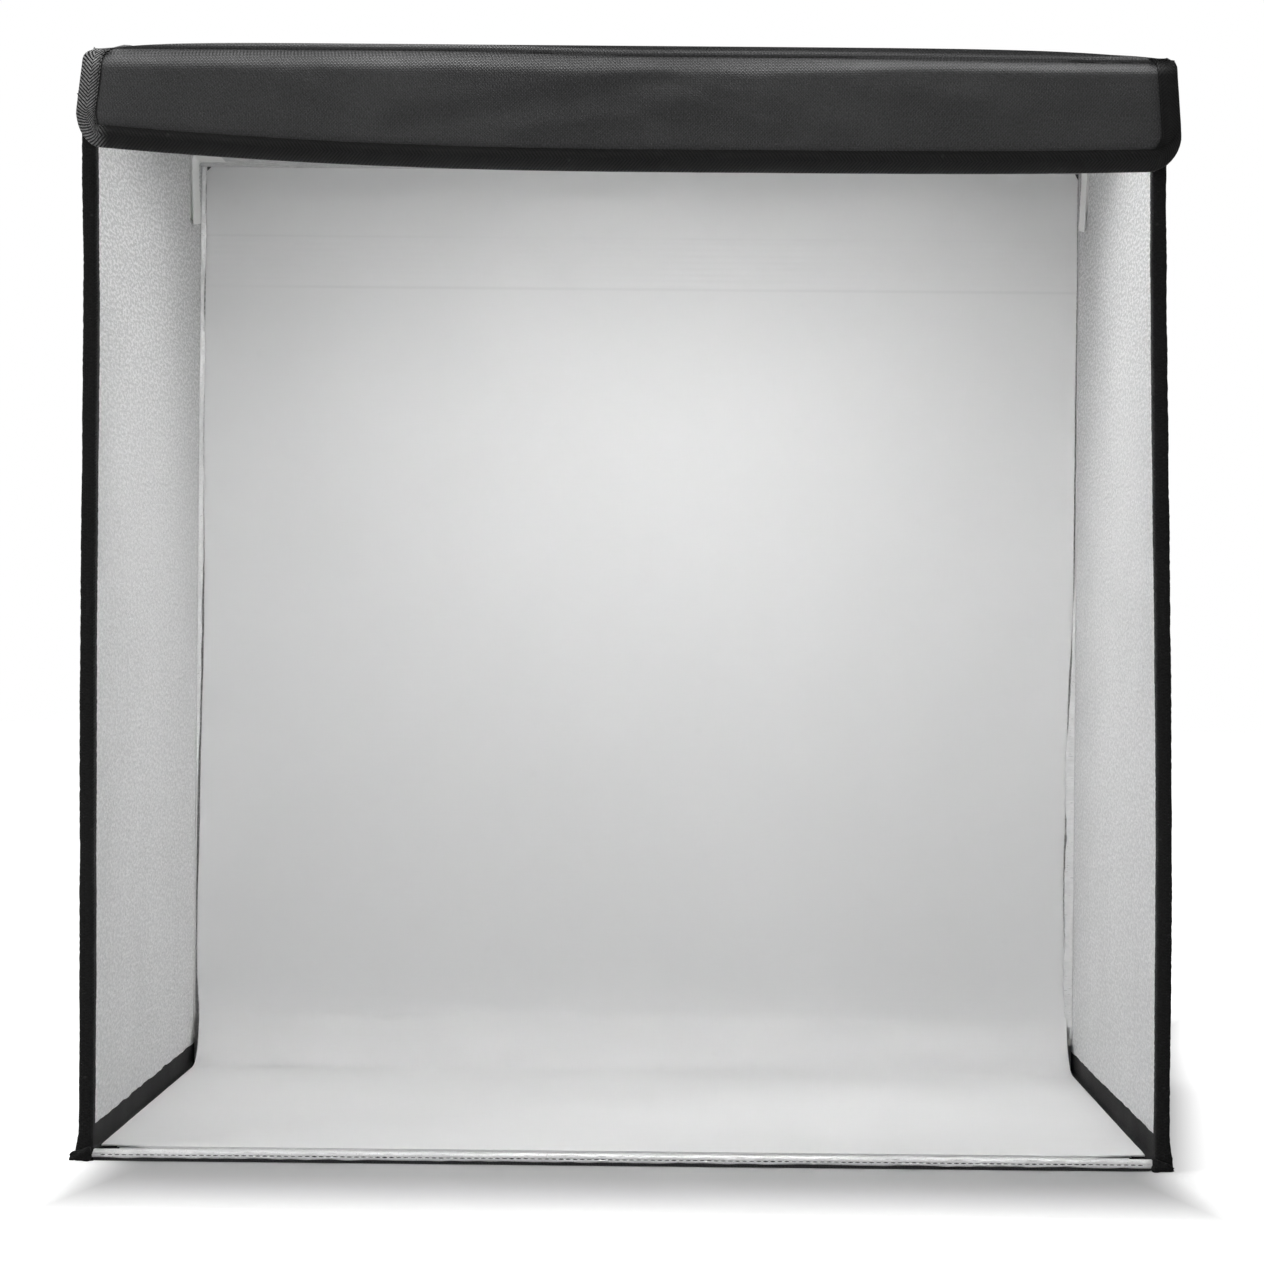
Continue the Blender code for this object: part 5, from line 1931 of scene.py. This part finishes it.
def look_matrix(place, pitch, yaw, roll):
    """A camera's matrix from its place, upward tilt, leftward turn and the picture's clockwise turn."""
    right = Vector((math.cos(yaw), math.sin(yaw), 0))
    level = Vector((-math.sin(yaw), math.cos(yaw), 0))
    forward = level * math.cos(pitch) + AXIS_Z * math.sin(pitch)
    up = AXIS_Z * math.cos(pitch) - level * math.sin(pitch)
    x_axis = right * math.cos(roll) + up * math.sin(roll)
    y_axis = up * math.cos(roll) - right * math.sin(roll)
    turn = Matrix((x_axis, y_axis, -forward)).transposed().to_4x4()
    return Matrix.Translation(place) @ turn


def add_lamp(name, place, aim, width, height, power):
    """A large soft lamp aimed at a point."""
    deselect()
    bpy.ops.object.light_add(type="AREA", location=place)
    lamp = named(name)
    lamp.data.shape = "RECTANGLE"
    lamp.data.size, lamp.data.size_y = width, height
    lamp.data.energy = power
    lamp.rotation_euler = (Vector(aim) - Vector(place)).to_track_quat("-Z", "Y").to_euler()


class LIGHTTENT_OT_stage(bpy.types.Operator):
    """Makes the camera, the lamps, the even surround light and the pale floor"""

    bl_idname = "light_tent.stage"
    bl_label = "Stage"

    def execute(self, context):
        stage = settings_of(context, "stage")
        scene = context.scene
        deselect()
        bpy.ops.object.camera_add()
        camera = named("camera")
        place = Vector((stage.camera_x, stage.camera_y, stage.camera_z))
        angles = (math.radians(value) for value in (stage.pitch, stage.yaw, stage.roll))
        camera.matrix_world = look_matrix(place, *angles)
        camera.data.sensor_width, camera.data.lens = 36, stage.lens
        camera.data.clip_end = 60
        scene.camera = camera

        scene.view_settings.view_transform = "Standard"
        world = bpy.data.worlds.new("surround")
        world.use_nodes = True
        scene.world = world
        w = Wiring(world.node_tree)
        background = w.nodes["Background"]
        background.inputs["Color"].default_value = (1, 1, 1, 1)
        seen = w.nodes.new("ShaderNodeLightPath").outputs["Is Camera Ray"]
        w.feed(background.inputs["Strength"], w.plus(w.times(seen, 1.0 - stage.sky), stage.sky))

        add_lamp("top_lamp", (-0.2, 0.24, 2.6), (-0.05, 0.2, 0.6), 1.8, 0.75, stage.top)
        add_lamp("left_lamp", (-2.3, -2.1, 1.0), (0, -0.3, 0.5), 0.7, 0.7, stage.left)
        add_lamp("front_lamp", (0.9, -3.4, 0.75), (0, -0.3, 0.45), 1.0, 0.8, stage.front)

        deselect()
        bpy.ops.mesh.primitive_plane_add(size=30)
        floor = named("studio_floor")
        with editing(floor):
            bpy.ops.mesh.subdivide(number_cuts=3)
        floor.data.materials.append(floor_finish())
        return {"FINISHED"}


GROUPS = {
    "panels": PanelSettings,
    "tapes": TapeSettings,
    "backdrop": BackdropSettings,
    "flap": FlapSettings,
    "bars": LightBarSettings,
    "stage": StageSettings,
}
OPERATORS = (
    LIGHTTENT_OT_panel_skins,
    LIGHTTENT_OT_panel_linings,
    LIGHTTENT_OT_wall_bindings,
    LIGHTTENT_OT_wall_back_hems,
    LIGHTTENT_OT_hinge_tapes,
    LIGHTTENT_OT_roof_tape,
    LIGHTTENT_OT_floor_hem,
    LIGHTTENT_OT_corner_ears,
    LIGHTTENT_OT_corner_gussets,
    LIGHTTENT_OT_hook_strips,
    LIGHTTENT_OT_backdrop,
    LIGHTTENT_OT_hook_tabs,
    LIGHTTENT_OT_light_bars,
    LIGHTTENT_OT_front_flap,
    LIGHTTENT_OT_flap_hem,
    LIGHTTENT_OT_stage,
)


class LIGHTTENT_PT_pieces(bpy.types.Panel):
    """Lists the tent's pieces and their sizes"""

    bl_label = "Light tent"
    bl_idname = "LIGHTTENT_PT_pieces"
    bl_space_type = "VIEW_3D"
    bl_region_type = "UI"
    bl_category = "Light Tent"

    def draw(self, context):
        layout = self.layout
        for operator in OPERATORS:
            layout.operator(operator.bl_idname)
        for name, group in GROUPS.items():
            box = layout.box()
            box.label(text=name.title())
            for key in group.__annotations__:
                box.prop(settings_of(context, name), key)


CLASSES = (*GROUPS.values(), *OPERATORS, LIGHTTENT_PT_pieces)


def register():
    """Registers the classes and puts the settings on the scene."""
    for one in CLASSES:
        bpy.utils.register_class(one)
    for name, group in GROUPS.items():
        setattr(bpy.types.Scene, f"light_tent_{name}", PointerProperty(type=group))


def unregister():
    """Takes the settings and the classes away again."""
    for name in GROUPS:
        delattr(bpy.types.Scene, f"light_tent_{name}")
    for one in reversed(CLASSES):
        bpy.utils.unregister_class(one)


def main():
    """Makes every piece."""
    register()
    for operator in OPERATORS:
        group, name = operator.bl_idname.split(".")
        getattr(getattr(bpy.ops, group), name)()


if __name__ == "__main__":
    main()
